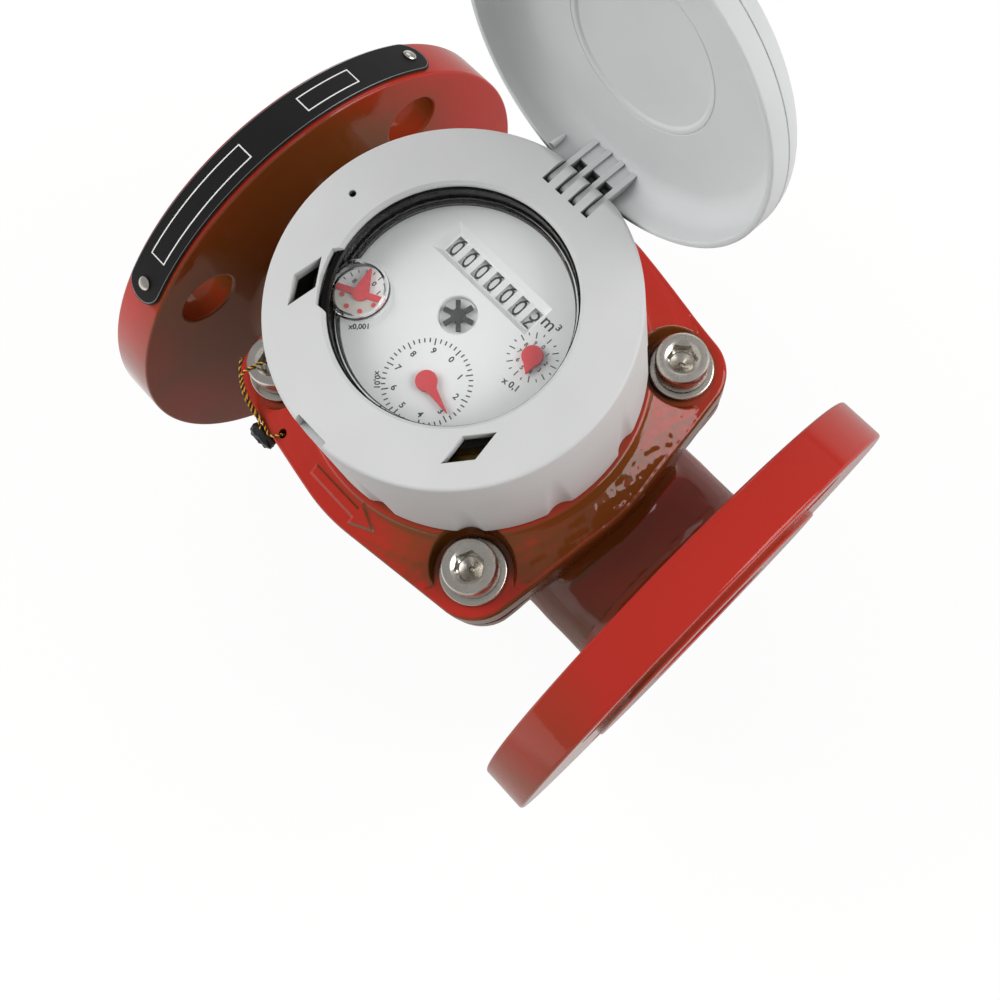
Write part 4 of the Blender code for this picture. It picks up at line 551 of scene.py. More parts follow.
def smooth_line(points, samples):
    """Catmull-Rom curve through given points.

    Between b and c, with a before and d after, the curve is
    (2b + (c - a)t + (2a - 5b + 4c - d)t^2 + (3b - a - 3c + d)t^3) / 2.
    """
    points = np.asarray(points, dtype=float)
    route = np.concatenate(([2 * points[0] - points[1]], points, [2 * points[-1] - points[-2]]))
    place = np.linspace(0, len(points) - 1 - 1e-9, samples)
    k = place.astype(int)
    t = (place - k)[:, None]
    a, b, c, d = (route[k + i] for i in range(4))
    return 0.5 * (2 * b + (c - a) * t + (2 * a - 5 * b + 4 * c - d) * t**2 + (3 * b - a - 3 * c + d) * t**3)


# Materials


def node(tree, kind, inputs=None, **settings):
    """Add a node; inputs are values or output sockets by socket name or number."""
    made = tree.nodes.new(kind)
    for key, value in settings.items():
        setattr(made, key, value)
    for key, value in (inputs or {}).items():
        socket = made.inputs[key]
        if isinstance(value, bpy.types.NodeSocket):
            tree.links.new(value, socket)
        else:
            socket.default_value = value
    return made


def principled(name, **inputs):
    """A new material with its Principled shader's own sockets set."""
    made = bpy.data.materials.new(name)
    made.use_nodes = True
    shader = made.node_tree.nodes["Principled BSDF"]
    for key, value in inputs.items():
        shader.inputs[key.replace("_", " ")].default_value = value
    return made, made.node_tree, shader


def grain(tree, size, detail=3.0, roughness=0.55, stretch=(1.0, 1.0, 1.0)):
    """Noise on Object coordinates whose features are about size metres wide."""
    place = node(tree, "ShaderNodeTexCoord").outputs["Object"]
    scaled = node(tree, "ShaderNodeMapping", {"Vector": place, "Scale": tuple(s / size for s in stretch)})
    return node(tree, "ShaderNodeTexNoise",
                {"Vector": scaled.outputs[0], "Scale": 1.0, "Detail": detail, "Roughness": roughness})


def ramp(tree, source, stops):
    """Map a grey value through (position, value) stops; a value is a number or a colour."""
    made = node(tree, "ShaderNodeValToRGB", {"Fac": source})
    points = made.color_ramp.elements
    while len(points) < len(stops):
        points.new(0.5)
    for point, (position, value) in zip(points, stops):
        point.position = position
        point.color = value if isinstance(value, (tuple, list)) else (value, value, value, 1.0)
    return made.outputs["Color"]


def bump(tree, shader, layers):
    """Stack bump layers of (height socket, distance in metres, strength) on a shader's normal."""
    last = None
    for height, distance, strength in layers:
        inputs = {"Height": height, "Distance": distance, "Strength": strength}
        if last is not None:
            inputs["Normal"] = last
        last = node(tree, "ShaderNodeBump", inputs).outputs["Normal"]
    tree.links.new(last, shader.inputs["Normal"])


def grimed(tree, tint, reach, dark, unshaded):
    """Painted shade: darken a colour in hollows up to reach metres across; two (openness, share) stops set
    how much.
    """
    opening = node(tree, "ShaderNodeAmbientOcclusion", {"Distance": reach}, samples=6)
    share = ramp(tree, opening.outputs["AO"], [dark, unshaded])
    mixed = node(tree, "ShaderNodeMix", {"Factor": 1.0, 6: tint, 7: share},
                 data_type="RGBA", blend_type="MULTIPLY")
    return mixed.outputs[2]


def dimmed(colour, share):
    """A colour with its red, green and blue multiplied by a share."""
    return tuple(c * share for c in colour[:3]) + (1.0,)


def epoxy_coated_iron(name):
    """Grey iron cast in sand, under a thick glossy epoxy coat.

    The coat flows out to a mirror gloss; it swells slightly over the sand's lumps, 4 to 9 mm wide. Its red
    turns browner in random broad patches. Shade is painted in as a browner red: in the hollows, on faces
    turned to the outlet on the -Y half, and along the outlet flange's -Y side.
    """
    made, tree, shader = principled(name, IOR=1.52, Specular_IOR_Level=0.4)
    # Painted shade: the red turns browner where ambient occlusion over 36 mm finds hollows; the noise adds
    # random mottle.
    open_sky = node(tree, "ShaderNodeAmbientOcclusion", {"Distance": 36 * MM}, samples=6)
    pools = grain(tree, 30 * MM, 3.0)
    mottle_and_shade = node(tree, "ShaderNodeMath",
                  {0: pools.outputs["Fac"], 1: 0.5, 2: open_sky.outputs["AO"]}, operation="MULTIPLY_ADD")
    place_here = node(tree, "ShaderNodeTexCoord")
    # Painted shade: faces turned this way, to the outlet, -Y and down, away from the light, turn browner,
    # less so towards +Y.
    away_from_light = (0.91, -0.32, -0.27)
    turned_away = node(tree, "ShaderNodeVectorMath",
                       {0: place_here.outputs["Normal"], 1: away_from_light}, operation="DOT_PRODUCT")
    thin = node(tree, "ShaderNodeMapRange",
                {"Value": turned_away.outputs["Value"], "From Min": -0.12, "From Max": 0.3, "To Max": 0.66},
                interpolation_type="SMOOTHSTEP")
    across = node(tree, "ShaderNodeSeparateXYZ", {0: place_here.outputs["Object"]})
    near_side = node(tree, "ShaderNodeMapRange",
                     {"Value": across.outputs["Y"], "From Min": 5 * MM, "From Max": 75 * MM, "To Min": 1.0,
                      "To Max": 0.15}, interpolation_type="SMOOTHSTEP")
    shade_turned_away = node(tree, "ShaderNodeMath",
                   {0: thin.outputs[0], 1: near_side.outputs[0]}, operation="MULTIPLY")
    # Painted shade: on the outlet flange, from x = 74 to 80 mm on, the -Y side turns browner instead.
    outlet = node(tree, "ShaderNodeMapRange",
                  {"Value": across.outputs["X"], "From Min": 74 * MM, "From Max": 80 * MM})
    outlet_side_shade = node(tree, "ShaderNodeMapRange",
                    {"Value": across.outputs["Y"], "From Min": -5 * MM, "From Max": -70 * MM, "To Max": 0.5},
                    interpolation_type="SMOOTHSTEP")
    painted_side_shade = node(tree, "ShaderNodeMix",
                   {0: outlet.outputs[0], 2: shade_turned_away.outputs[0], 3: outlet_side_shade.outputs[0]})
    coat = node(tree, "ShaderNodeMath", {0: mottle_and_shade.outputs[0], 1: painted_side_shade.outputs[0]}, operation="SUBTRACT")
    tint = ramp(tree, coat.outputs[0], [(0.45, tuple(colours().epoxy_deep)), (1.0, tuple(colours().epoxy))])
    tree.links.new(tint, shader.inputs["Base Color"])
    peel = grain(tree, 1.2 * MM, 2.0)
    sand = grain(tree, 6.5 * MM, 3.0)
    gloss = ramp(tree, sand.outputs["Fac"], [(0.3, 0.05), (0.7, 0.1)])
    tree.links.new(gloss, shader.inputs["Roughness"])
    bump(tree, shader, [(sand.outputs["Fac"], 0.3 * MM, 0.2), (peel.outputs["Fac"], 0.03 * MM, 0.12)])
    return made


def moulded_plastic(name, tint_name, grit, roughness=0.5, strength=0.25, shine=0.5, marks=0.0, slots=False):
    """Plastic or rubber moulded in an eroded steel tool: a dull, even skin with a fine grit, slightly cloudy.

    With marks it has faint drag lines across the draw. With slots, narrow hollows up to 8 mm across are
    darkened nearly to black as painted shade.
    """
    made, tree, shader = principled(name, IOR=1.52, Specular_IOR_Level=shine)
    colour = colour_of(tint_name)
    cloud = grain(tree, 24 * MM, 2.0)
    tint = ramp(tree, cloud.outputs["Fac"], [(0.3, dimmed(colour, 0.955)), (0.7, tuple(colour))])
    # Painted shade: hollows up to 8 mm across turn nearly black.
    if slots:
        tint = grimed(tree, tint, 8 * MM, (0.12, 0.06), (0.45, 1.0))
    tree.links.new(tint, shader.inputs["Base Color"])
    fine = grain(tree, grit, 2.0)
    gloss = ramp(tree, fine.outputs["Fac"], [(0.3, roughness - 0.06), (0.7, roughness + 0.08)])
    tree.links.new(gloss, shader.inputs["Roughness"])
    layers = [(fine.outputs["Fac"], grit * 0.12, strength)]
    if marks:
        drag = grain(tree, 3.0 * MM, 3.0, stretch=(0.12, 4.0, 4.0))
        layers.append((drag.outputs["Fac"], 0.02 * MM, marks))
    bump(tree, shader, layers)
    return made


def turned_stainless(name):
    """Stainless steel, cold headed and turned: bright, with faint tool marks and light handling wear."""
    made, tree, shader = principled(name, Metallic=1.0)
    colour = colours().steel
    wear = grain(tree, 3.5 * MM, 3.0)
    tint = ramp(tree, wear.outputs["Fac"], [(0.3, dimmed(colour, 0.93)), (0.65, tuple(colour))])
    # Painted shade: hollows up to 5 mm across, such as the socket and the gap under the head, turn dark.
    tint = grimed(tree, tint, 5 * MM, (0.25, 0.06), (0.6, 1.0))
    tree.links.new(tint, shader.inputs["Base Color"])
    marks = grain(tree, 0.5 * MM, 2.0, stretch=(1.0, 1.0, 0.3))
    gloss = ramp(tree, wear.outputs["Fac"], [(0.3, 0.24), (0.7, 0.32)])
    tree.links.new(gloss, shader.inputs["Roughness"])
    bump(tree, shader, [(marks.outputs["Fac"], 0.01 * MM, 0.12)])
    return made


def printed_enamel(name, tint_name, roughness):
    """Sheet with a baked, screen-printed enamel: very even, with a fine silky tooth."""
    made, tree, shader = principled(name, IOR=1.5)
    colour = colour_of(tint_name)
    tooth = grain(tree, 0.35 * MM, 2.0).outputs["Fac"]
    tint = ramp(tree, tooth, [(0.3, dimmed(colour, 0.97)), (0.7, tuple(colour))])
    tree.links.new(tint, shader.inputs["Base Color"])
    gloss = ramp(tree, tooth, [(0.3, roughness), (0.7, roughness + 0.12)])
    tree.links.new(gloss, shader.inputs["Roughness"])
    bump(tree, shader, [(tooth, 0.02 * MM, 0.2)])
    return made


def drawn_metal(name, tint_name):
    """Drawn sheet metal: satin, with fine lines along the draw."""
    made, tree, shader = principled(name, Metallic=1.0)
    colour = colour_of(tint_name)
    lines = grain(tree, 0.8 * MM, 3.0, stretch=(4.0, 4.0, 0.3)).outputs["Fac"]
    tint = ramp(tree, lines, [(0.3, dimmed(colour, 0.8)), (0.7, tuple(colour))])
    tree.links.new(tint, shader.inputs["Base Color"])
    gloss = ramp(tree, lines, [(0.3, 0.28), (0.7, 0.42)])
    tree.links.new(gloss, shader.inputs["Roughness"])
    bump(tree, shader, [(lines, 0.02 * MM, 0.25)])
    return made


def clear_pane(name):
    """Cast acrylic: clear, smooth and nearly free of colour, with light let straight through to the dial."""
    made, tree, shader = principled(
        name, Base_Color=linear("#FDFEFE"), Roughness=0.02, IOR=1.49, Transmission_Weight=1.0
    )
    light = node(tree, "ShaderNodeLightPath").outputs
    either = node(tree, "ShaderNodeMath",
                  {0: light["Is Shadow Ray"], 1: light["Is Diffuse Ray"]}, operation="MAXIMUM")
    through = node(tree, "ShaderNodeBsdfTransparent", {"Color": linear("#FCFDFD")})
    mixed = node(tree, "ShaderNodeMixShader",
                 {0: either.outputs[0], 1: shader.outputs[0], 2: through.outputs[0]})
    tree.links.new(mixed.outputs[0], tree.nodes["Material Output"].inputs["Surface"])
    return made


def colour_of(tint_name):
    """Linear colour of a hex value, or of one of the scene's colours by its name."""
    return linear(tint_name) if tint_name.startswith("#") else getattr(colours(), tint_name)


# Each finish by name: the slot of the imported model that it stands for, how it is made, and its settings.
# A moulding's settings are its colour, grit, roughness, bump, shine, marks and painted shade in hollows.
FINISHES = {
    "epoxy_coated_cast_iron": ("red_epoxy_cast_iron", epoxy_coated_iron),
    "turned_stainless_steel": ("stainless_steel", turned_stainless),
    "cast_acrylic_pane": ("clear_glass", clear_pane),
    "abs_shroud": ("shroud_grey", moulded_plastic, "shroud", 0.45 * MM, 0.5, 0.3, 0.3, 0.0, True),
    "abs_lid": ("lid_grey", moulded_plastic, "lid", 0.5 * MM, 0.46, 0.25, 0.2, 0.2, True),
    "dial_enamel": ("dial_white", printed_enamel, "dial", 0.4),
    "drum_acetal": ("dial_white", printed_enamel, "#F4F4F2", 0.35),
    "dial_ink": ("black_plastic", printed_enamel, "dial_print", 0.35),
    "plate_white_print": ("nameplate_black", printed_enamel, "#F2F2F0", 0.4),
    "pointer_acetal": ("pointer_red", moulded_plastic, "pointer", 0.4 * MM, 0.38, 0.3),
    "star_acetal": ("black_plastic", moulded_plastic, "#161617", 0.4 * MM, 0.4, 0.2),
    "port_disc_acetal": ("pointer_red", moulded_plastic, "#CFC8BE", 0.8 * MM, 0.35, 0.35),
    "sealing_rubber": ("black_rubber", moulded_plastic, "#0B0807", 0.6 * MM, 0.3, 0.1, 0.2),
    "gasket_rubber": ("black_rubber", moulded_plastic, "#1B1918", 0.5 * MM, 0.6, 0.3),
    "glass_filled_nylon": ("insert_plastic", moulded_plastic, "#3A3B3E", 0.7 * MM, 0.5, 0.35),
    "white_acetal": ("rotor_plastic", moulded_plastic, "#DEDFDC", 0.5 * MM, 0.35, 0.2),
    "black_acetal": ("black_plastic", moulded_plastic, "#1D1D1E", 0.5 * MM, 0.4, 0.2),
    "anodised_plate": ("nameplate_black", moulded_plastic, "plate", 0.3 * MM, 0.6, 0.15, 0.25, 0.25),
    "yellow_nylon_strand": ("wire_brass", moulded_plastic, "thread_light", 0.25 * MM, 0.3, 0.4),
    "dark_nylon_strand": ("black_plastic", moulded_plastic, "thread_dark", 0.25 * MM, 0.35, 0.4),
    "crimped_seal_plastic": ("black_plastic", moulded_plastic, "#222324", 0.9 * MM, 0.35, 0.6),
    "drawn_brass": ("brass_can", drawn_metal, "#B08D4C"),
    "bare_aluminium_edge": ("stainless_steel", drawn_metal, "#C9CACB"),
}


def finish(name):
    """The named finish, made once and shared."""
    made = bpy.data.materials.get(name)
    if made is None:
        _, make, *settings = FINISHES[name]
        made = make(name, *settings)
    return made


def place(item, look, body, *nodes):
    """Give a finished piece its material, the body it rides on and the nodes it stands for."""
    item.data.materials.clear()
    item.data.materials.append(finish(look))
    item.data.name = item.name
    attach(item, body)
    if nodes:
        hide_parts(*nodes)
    return item


class MeterOperator:
    """What every operator of this file shares."""

    bl_options = {"REGISTER", "UNDO"}


# Pieces


def flange_solid(side):
    """Flange with its raised face and neck, turned about +X and bored.

    The profile runs from the bore up the joint face, over the raised face and the rounded rim, down the
    back and along the neck's fillet to the pipe. The side is -1 at the inlet and 1 at the outlet.
    """
    face = BODY_HIGH[0]
    rim = BODY_HIGH[2]
    front = face - RAISED_FACE_HEIGHT
    back = front - FLANGE_THICKNESS
    r = sizes().flange_rounding
    neck = 6.0 * MM
    inner_end = back - neck
    lip = 0.5 * MM
    profile = path(
        (BORE_RADIUS, inner_end), (BORE_RADIUS, face - lip), (BORE_RADIUS + lip, face),
        (RAISED_FACE_RADIUS - lip, face), (RAISED_FACE_RADIUS, face - lip), (RAISED_FACE_RADIUS, front),
        (rim - 14 * MM, front), (rim - r - 3 * MM, front),
        arc((rim - r, front - r), r, 90, 0, 8), (rim, (front + back) / 2),
        arc((rim - r * 0.7, back + r * 0.7), r * 0.7, 0, -90, 8), (rim - r - 3 * MM, back),
        (PIPE_RADIUS + neck + 12 * MM, back),
        arc((PIPE_RADIUS + neck, back - neck), neck, 90, 180, 10),
    )
    ring = turned(profile, 240, looped=True)
    vertices, faces = across_pipe(ring)
    vertices[:, 0] *= side
    return vertices, faces


def bolt_cutter(side):
    """Cutter of the bolt holes: a rounded lip at the back, the hole, and a small chamfer at the front.

    The lip is a quarter circle, r + q + q cos a and back + q + q sin a, that leaves the wall of the hole
    and ends just above the flange's back.
    """
    front = BODY_HIGH[0] - RAISED_FACE_HEIGHT
    back = front - FLANGE_THICKNESS
    r = BOLT_HOLE_RADIUS
    q = BOLT_HOLE_LIP
    lip = arc((r + q, back + q), q, 262, 180, 7)
    chamfer = 0.6 * MM
    past = 6 * MM
    profile = path((lip[0, 0], back - past), lip, (r, front - chamfer), (r + chamfer, front),
                   (r + chamfer, front + past))
    holes = []
    for turn in (45, 135, 225, 315):
        a = math.radians(turn)
        centre = (BOLT_CIRCLE_RADIUS * math.cos(a), BOLT_CIRCLE_RADIUS * math.sin(a))
        holes.append(turned(profile, 56, centre))
    vertices, faces = across_pipe(merged(holes))
    vertices[:, 0] *= side
    return vertices, faces


def chamber_field(x, y, z, fillet):
    """Signed distance of the cast chamber with its pipe stubs, bosses and top flange, bored through.

    Solids are joined by the blended least of their distances; the bore and the chamber are then taken out
    by the greatest of the distance and the negative distance of what is cut.
    """
    pipe = np.hypot(y, z) - PIPE_RADIUS
    bend = 14 * MM
    floor = CHAMBER_FLOOR - 10 * MM
    radial = np.hypot(x, y) - (BOWL_RADIUS - bend)
    lower = (floor + bend) - z
    bowl = np.maximum(rounded_corner(radial, lower, bend), z - (BODY_TOP - 5 * MM))
    solid = smooth_least(pipe, bowl, fillet)
    under = BODY_TOP - 10 * MM
    edge = outline_distance(x, y, COVER_DISC_RADIUS - 0.6 * MM, COVER_CORNER_RADIUS - 0.6 * MM, SCREW_SQUARE)
    middle = (BODY_TOP + under) / 2
    half = (BODY_TOP - under) / 2
    r = 1.6 * MM
    plate = rounded_corner(edge + r, np.abs(z - middle) - half + r, r)
    boss = np.full(x.shape, 1.0)
    for px, py in SCREW_PLACES:
        column = np.hypot(x - px, y - py) - 11 * MM
        column = np.maximum(column, (BODY_TOP - 23 * MM) - z)
        boss = np.minimum(boss, np.maximum(column, z - middle))
    solid = smooth_least(solid, boss, fillet)
    solid = smooth_least(solid, plate, fillet)
    solid = np.maximum(solid, z - BODY_TOP)
    hollow = np.minimum(np.hypot(y, z) - BORE_RADIUS,
                        np.maximum(np.hypot(x, y) - CHAMBER_RADIUS, CHAMBER_FLOOR - z))
    for px, py in SCREW_PLACES:
        hole = np.maximum(np.hypot(x - px, y - py) - SCREW_HOLE_RADIUS, (BODY_TOP - 19 * MM) - z)
        hollow = np.minimum(hollow, hole)
    return np.maximum(solid, -hollow)


class MESH_OT_meter_casting(MeterOperator, bpy.types.Operator):
    """Cast body: two bored flanges and the blended chamber between them"""

    bl_idname = "mesh.meter_casting"
    bl_label = "Cast Body"

    def execute(self, context):
        for side, name in ((-1, "inlet_flange"), (1, "outlet_flange")):
            flange = mesh_object(name, flange_solid(side))
            shaped(flange, bolt_cutter(side), smooth_angle=30.0)
            place(flange, "epoxy_coated_cast_iron", ROOT, "meter_body")
        step = sizes().casting_grid
        reach = BODY_HIGH[0] - RAISED_FACE_HEIGHT - FLANGE_THICKNESS - 4.8 * MM
        low = np.array((-reach - 2 * step, -COVER_DISC_RADIUS - 3 * step, CHAMBER_FLOOR - 10 * MM - 3 * step))
        high = np.array((reach + 2 * step, COVER_DISC_RADIUS + 3 * step, BODY_TOP + 3 * step))
        counts = np.ceil((high - low) / step).astype(int)
        axes = [low[k] + step * np.arange(counts[k] + 1) for k in range(3)]
        x, y, z = np.meshgrid(*axes, indexing="ij")
        field = chamber_field(x, y, z, sizes().casting_fillet)
        off_bore = smoothstep((np.hypot(y, z) - BORE_RADIUS - 4 * MM) / (3 * MM))
        sandy = off_bore * smoothstep((BODY_TOP - z) / (4 * MM))
        field = field + sizes().cast_roughness * sandy * lumps(x, y, z, 11 * MM, 3)
        field = np.maximum(field, np.abs(x) - reach)
        chamber = mesh_object("cast_chamber", surface_net(field, low, step), smooth_angle=48.0)
        place(chamber, "epoxy_coated_cast_iron", ROOT, "meter_body")
        return {"FINISHED"}


def arrow_distance(x, y):
    """Distance to the flow arrow's outline in plan, negative inside: a shaft joined to a triangular head."""
    back, neck, tip = -11.2 * MM, 7.5 * MM, 14.8 * MM
    along = x
    across = np.abs(y + 56.0 * MM)
    shaft = np.maximum(np.maximum(back - along, along - neck - 1 * MM), across - 1.45 * MM)
    slope = np.array((3.35 * MM, tip - neck))
    slope = slope / np.linalg.norm(slope)
    head = np.maximum((along - tip) * slope[0] + across * slope[1], neck - along)
    return np.minimum(shaft, head)


def cover_height(x, y):
    """Height of the cover's top: a turned slope, screw pockets, the arrow and the cast lumps.

    The slope is read from (radius, height) points; each pocket is a flat seat that blends into the slope
    over 1.5 mm at its rim, and the arrow rises by a smooth step of its outline's distance.
    """
    top = COVER_HIGH[2]
    r = np.hypot(x, y)
    radii = np.array((0, 51.6, 52.3, 52.9, 54.0, 57.0, 60.5, 62.5, 66.0, 70.0, 76.0)) * MM
    drops = np.array((0, 0, 0.35, 1.2, 2.1, 3.7, 5.6, 7.0, 9.0, 9.7, 9.9)) * MM
    z = top - np.interp(r, radii, drops)
    cast = smoothstep((r - 53 * MM) / (4 * MM))
    rough = sizes().cast_roughness * (0.5 + 1.3 * smoothstep((x - 30 * MM) / (20 * MM)))
    z = z + cast * rough * lumps(x, y, 0 * x, 6.5 * MM, 11)
    rise = smoothstep(0.5 - arrow_distance(x, y) / (0.9 * MM))
    z = z + sizes().arrow_height * rise
    for px, py in SCREW_PLACES:
        d = np.hypot(x - px, y - py)
        inside = smoothstep((POCKET_RADIUS + 0.5 * MM - d) / (1.5 * MM))
        z = z * (1 - inside) + SEAT_Z * inside
        shoulder = smoothstep((POCKET_RADIUS + 5 * MM - d) / (4 * MM)) * (1 - inside)
        z = np.where(z < SEAT_Z + 0.4 * MM, z + (SEAT_Z - z) * 0.7 * shoulder, z)
    return z


def cover_solid():
    """Cover as rings along rays through the outline's points, from the register's seat to the rounded rim.

    A ray's ring points lie at r = inner + (edge - inner) t, where edge is the outline's own radius less
    the rounding; the rim turns over by x = edge + q sin a, z = top - q (1 - cos a), and the side and the
    underside close the body.
    """
    outline = hull_outline(COVER_DISC_RADIUS, COVER_CORNER_RADIUS, SCREW_SQUARE, 60)
    reach = np.linalg.norm(outline, axis=1)
    ray = outline / reach[:, None]
    q = sizes().cover_rounding
    low = COVER_LOW[2]
    inner = 30.2 * MM
    start = 49.5 * MM
    rows = []

    def row(radius, height):
        point = ray * np.asarray(radius).reshape(-1, 1)
        rows.append(np.column_stack((point, np.broadcast_to(height, len(point)))))

    row(inner, low + 3.5 * MM)
    row(inner, COVER_HIGH[2])
    row((inner + start) / 2, COVER_HIGH[2])
    for t in np.linspace(0, 1, 56):
        radius = start + (reach - q - start) * t
        x, y = ray[:, 0] * radius, ray[:, 1] * radius
        row(radius, cover_height(x, y))
    edge_height = rows[-1][:, 2]
    for a in np.radians((18, 36, 54, 72, 90)):
        row(reach - q + q * np.sin(a), edge_height - q * (1 - np.cos(a)))
    for t in (0.25, 0.5, 0.75):
        side = edge_height - q + (low + 1 * MM - edge_height + q) * t
        row(reach, side)
    row(reach, low + 1.0 * MM)
    row(reach - 0.3 * MM, low + 0.3 * MM)
    row(reach - 1.0 * MM, low)
    row(41.6 * MM, low)
    row(41.6 * MM, low + 3.5 * MM)
    return shell(np.array(rows), wrap_rows=True)


class MESH_OT_meter_cover(MeterOperator, bpy.types.Operator):
    """Cast cover plate with its screw pockets, flow arrow and sealing hole"""

    bl_idname = "mesh.meter_cover"
    bl_label = "Cover Plate"

    def execute(self, context):
        cover = mesh_object("cover_casting", cover_solid(), smooth_angle=50.0)
        hole = path((1.45 * MM, 40 * MM), (1.45 * MM, 58.4 * MM), (2.4 * MM, 60 * MM))
        drills = [turned(hole, 32, SEAL_HOLE_PLACE)]
        drills += [rod(SCREW_HOLE_RADIUS, COVER_LOW[2] - MM, SEAT_Z + MM, 40, p) for p in SCREW_PLACES]
        shaped(cover, merged(drills), smooth_angle=50.0)
        place(cover, "epoxy_coated_cast_iron", ROOT, "cover_plate")
        low, high = corners("cover_gasket")
        r = high[0]
        inner = r - 10 * MM
        bulge = (r + 0.2 * MM, (low[2] + high[2]) / 2)
        ring = path((inner, low[2]), (r, low[2]), bulge, (r, high[2]), (inner, high[2]))
        ring = mesh_object("cover_seal_ring", turned(ring, 120, looped=True))
        place(ring, "gasket_rubber", ROOT, "cover_gasket")
        return {"FINISHED"}


def socket_screw(centre, turn):
    """Socket head cap screw as one polar grid of radius and height over the angle.

    Outside it is turned. The socket's radius is that of a hexagon, f / cos(((a + 30) mod 60) - 30) with
    f half the width across flats. Its mouth is a cone m wide, met at height top - 0.9 (m - hexagon radius).
    Under the hexagon lie the drill's cone and its small pilot.
    """
    head = 8.0 * MM
    top = SCREW_TOP
    under = top - 10 * MM
    tip = float(screw_low[2])
    shank = 5.0 * MM
    steps = 144
    a = np.linspace(0, 2 * math.pi, steps, endpoint=False)
    flats = 4.0 * MM
    sector = (np.degrees(a - turn) + 30) % 60 - 30
    hexagon = flats / np.cos(np.radians(sector))
    mouth = 5.15 * MM
    rows = [
        (4.2 * MM, tip), (shank, tip + 0.8 * MM), (shank, under), (head - 0.7 * MM, under),
        (head, under + 0.7 * MM), (head, top - 1.0 * MM), (head - 0.12 * MM, top - 0.55 * MM),
        (head - 0.45 * MM, top - 0.14 * MM), (head - 0.95 * MM, top), (mouth + 1.2 * MM, top),
        (mouth + 0.1 * MM, top), (mouth, top - 0.05 * MM), (hexagon, top - (mouth - hexagon) * 0.9),
        (hexagon, top - 5.6 * MM), (3.7 * MM, top - 5.9 * MM), (3.5 * MM, top - 6.3 * MM),
        (0.9 * MM, top - 7.8 * MM), (0.7 * MM, top - 8.3 * MM), (0.2 * MM, top - 8.5 * MM),
    ]
    radius = np.array([np.broadcast_to(r, steps) for r, _ in rows])
    height = np.array([np.broadcast_to(h, steps) for _, h in rows])
    points = np.stack((centre[0] + radius * np.cos(a), centre[1] + radius * np.sin(a), height), axis=-1)
    return shell(points)


class MESH_OT_meter_screws(MeterOperator, bpy.types.Operator):
    """Socket head screws and their plain washers"""

    bl_idname = "mesh.meter_screws"
    bl_label = "Cover Screws"

    def execute(self, context):
        turns = (0.35, 0.62, 0.2, 0.9)
        for number, (centre, turn) in enumerate(zip(SCREW_PLACES, turns), 1):
            screw = mesh_object(f"socket_screw_{number}", socket_screw(centre, turn), smooth_angle=28.0)
            place(screw, "turned_stainless_steel", ROOT, f"cover_screw_{number}")
            low, high = corners(f"cover_washer_{number}")
            r = WASHER_RADIUS
            hole = 5.35 * MM
            edge = 0.35 * MM
            round_off = 0.7 * MM
            bottom, top = low[2], high[2]
            profile = path((hole, bottom), (r - edge, bottom), (r, bottom + edge),
                           arc((r - round_off, top - round_off), round_off, 0, 90, 5),
                           (hole + edge, top), (hole, top - 0.3 * MM))
            washer = turned(profile, 96, centre, looped=True)
            washer = mesh_object(f"plain_washer_{number}", washer, smooth_angle=28.0)
            place(washer, "turned_stainless_steel", ROOT, f"cover_washer_{number}")
        return {"FINISHED"}


def shroud_solid():
    """Shroud's turned shell with its scallops.

    The outer wall's radius at angle a and height z is the blended least of the taper R(z) and the
    scallop's near side c cos f - sqrt(s^2 - c^2 sin^2 f), where f is the angle from the nearest scallop's
    middle, s its cutter's radius and c the cutter's distance, which grows with z until it leaves the wall.
    """
    low, top = SHROUD_LOW[2], SHROUD_HIGH[2]
    base, upper = SHROUD_HIGH[0], 49.4 * MM
    height = top - low
    wall = 2.6 * MM
    steps = 720
    a = np.linspace(0, 2 * math.pi, steps, endpoint=False)
    spacing = math.radians(30)
    f = a % spacing - spacing / 2
    cutter, depth, tall = 6.3 * MM, 1.6 * MM, 31 * MM
    rows = []
    edge = 0.9 * MM

    def taper(z):
        return base + (upper - base) * (z - low) / height

    def row(radius, z, cut=False):
        radius = np.broadcast_to(radius, steps).astype(float)
        if cut:
            share = (z - low) / tall
            away = base + cutter - depth + (taper(low + tall) - base + depth) * share
            square = cutter**2 - (away * np.sin(f)) ** 2
            near = away * np.cos(f) - np.sqrt(np.maximum(square, 0))
            near = np.where(square > 0, near, 1.0)
            radius = smooth_least(radius, near, 0.5 * MM)
        rows.append(np.stack((radius * np.cos(a), radius * np.sin(a), np.full(steps, z)), axis=-1))

    row(base - wall, low)
    for t in np.linspace(0, 1, 34):
        z = low + (height - edge) * t
        row(taper(z) - (0.25 * MM if t == 0 else 0.0), z, cut=z < low + tall * 1.3)
    for turn in np.radians((25, 50, 75, 90)):
        row(upper - edge + edge * math.cos(turn), top - edge + edge * math.sin(turn))
    window = WINDOW_RADIUS
    bevel = 0.9 * MM
    lip = 1.9 * MM
    undercut = window + 1.6 * MM
    roof = top - 4 * MM
    inside = (
        (42 * MM, top), (window + bevel + 0.3 * MM, top), (window + bevel, top - 0.06 * MM),
        (window + 0.15 * MM, top - bevel + 0.1 * MM), (window, top - bevel - 0.1 * MM), (window, top - lip),
        (undercut, top - lip - 0.1 * MM), (undercut, roof), (upper - wall, roof),
    )
    for radius, z in inside:
        row(radius, z)
    return shell(np.array(rows), wrap_rows=True)


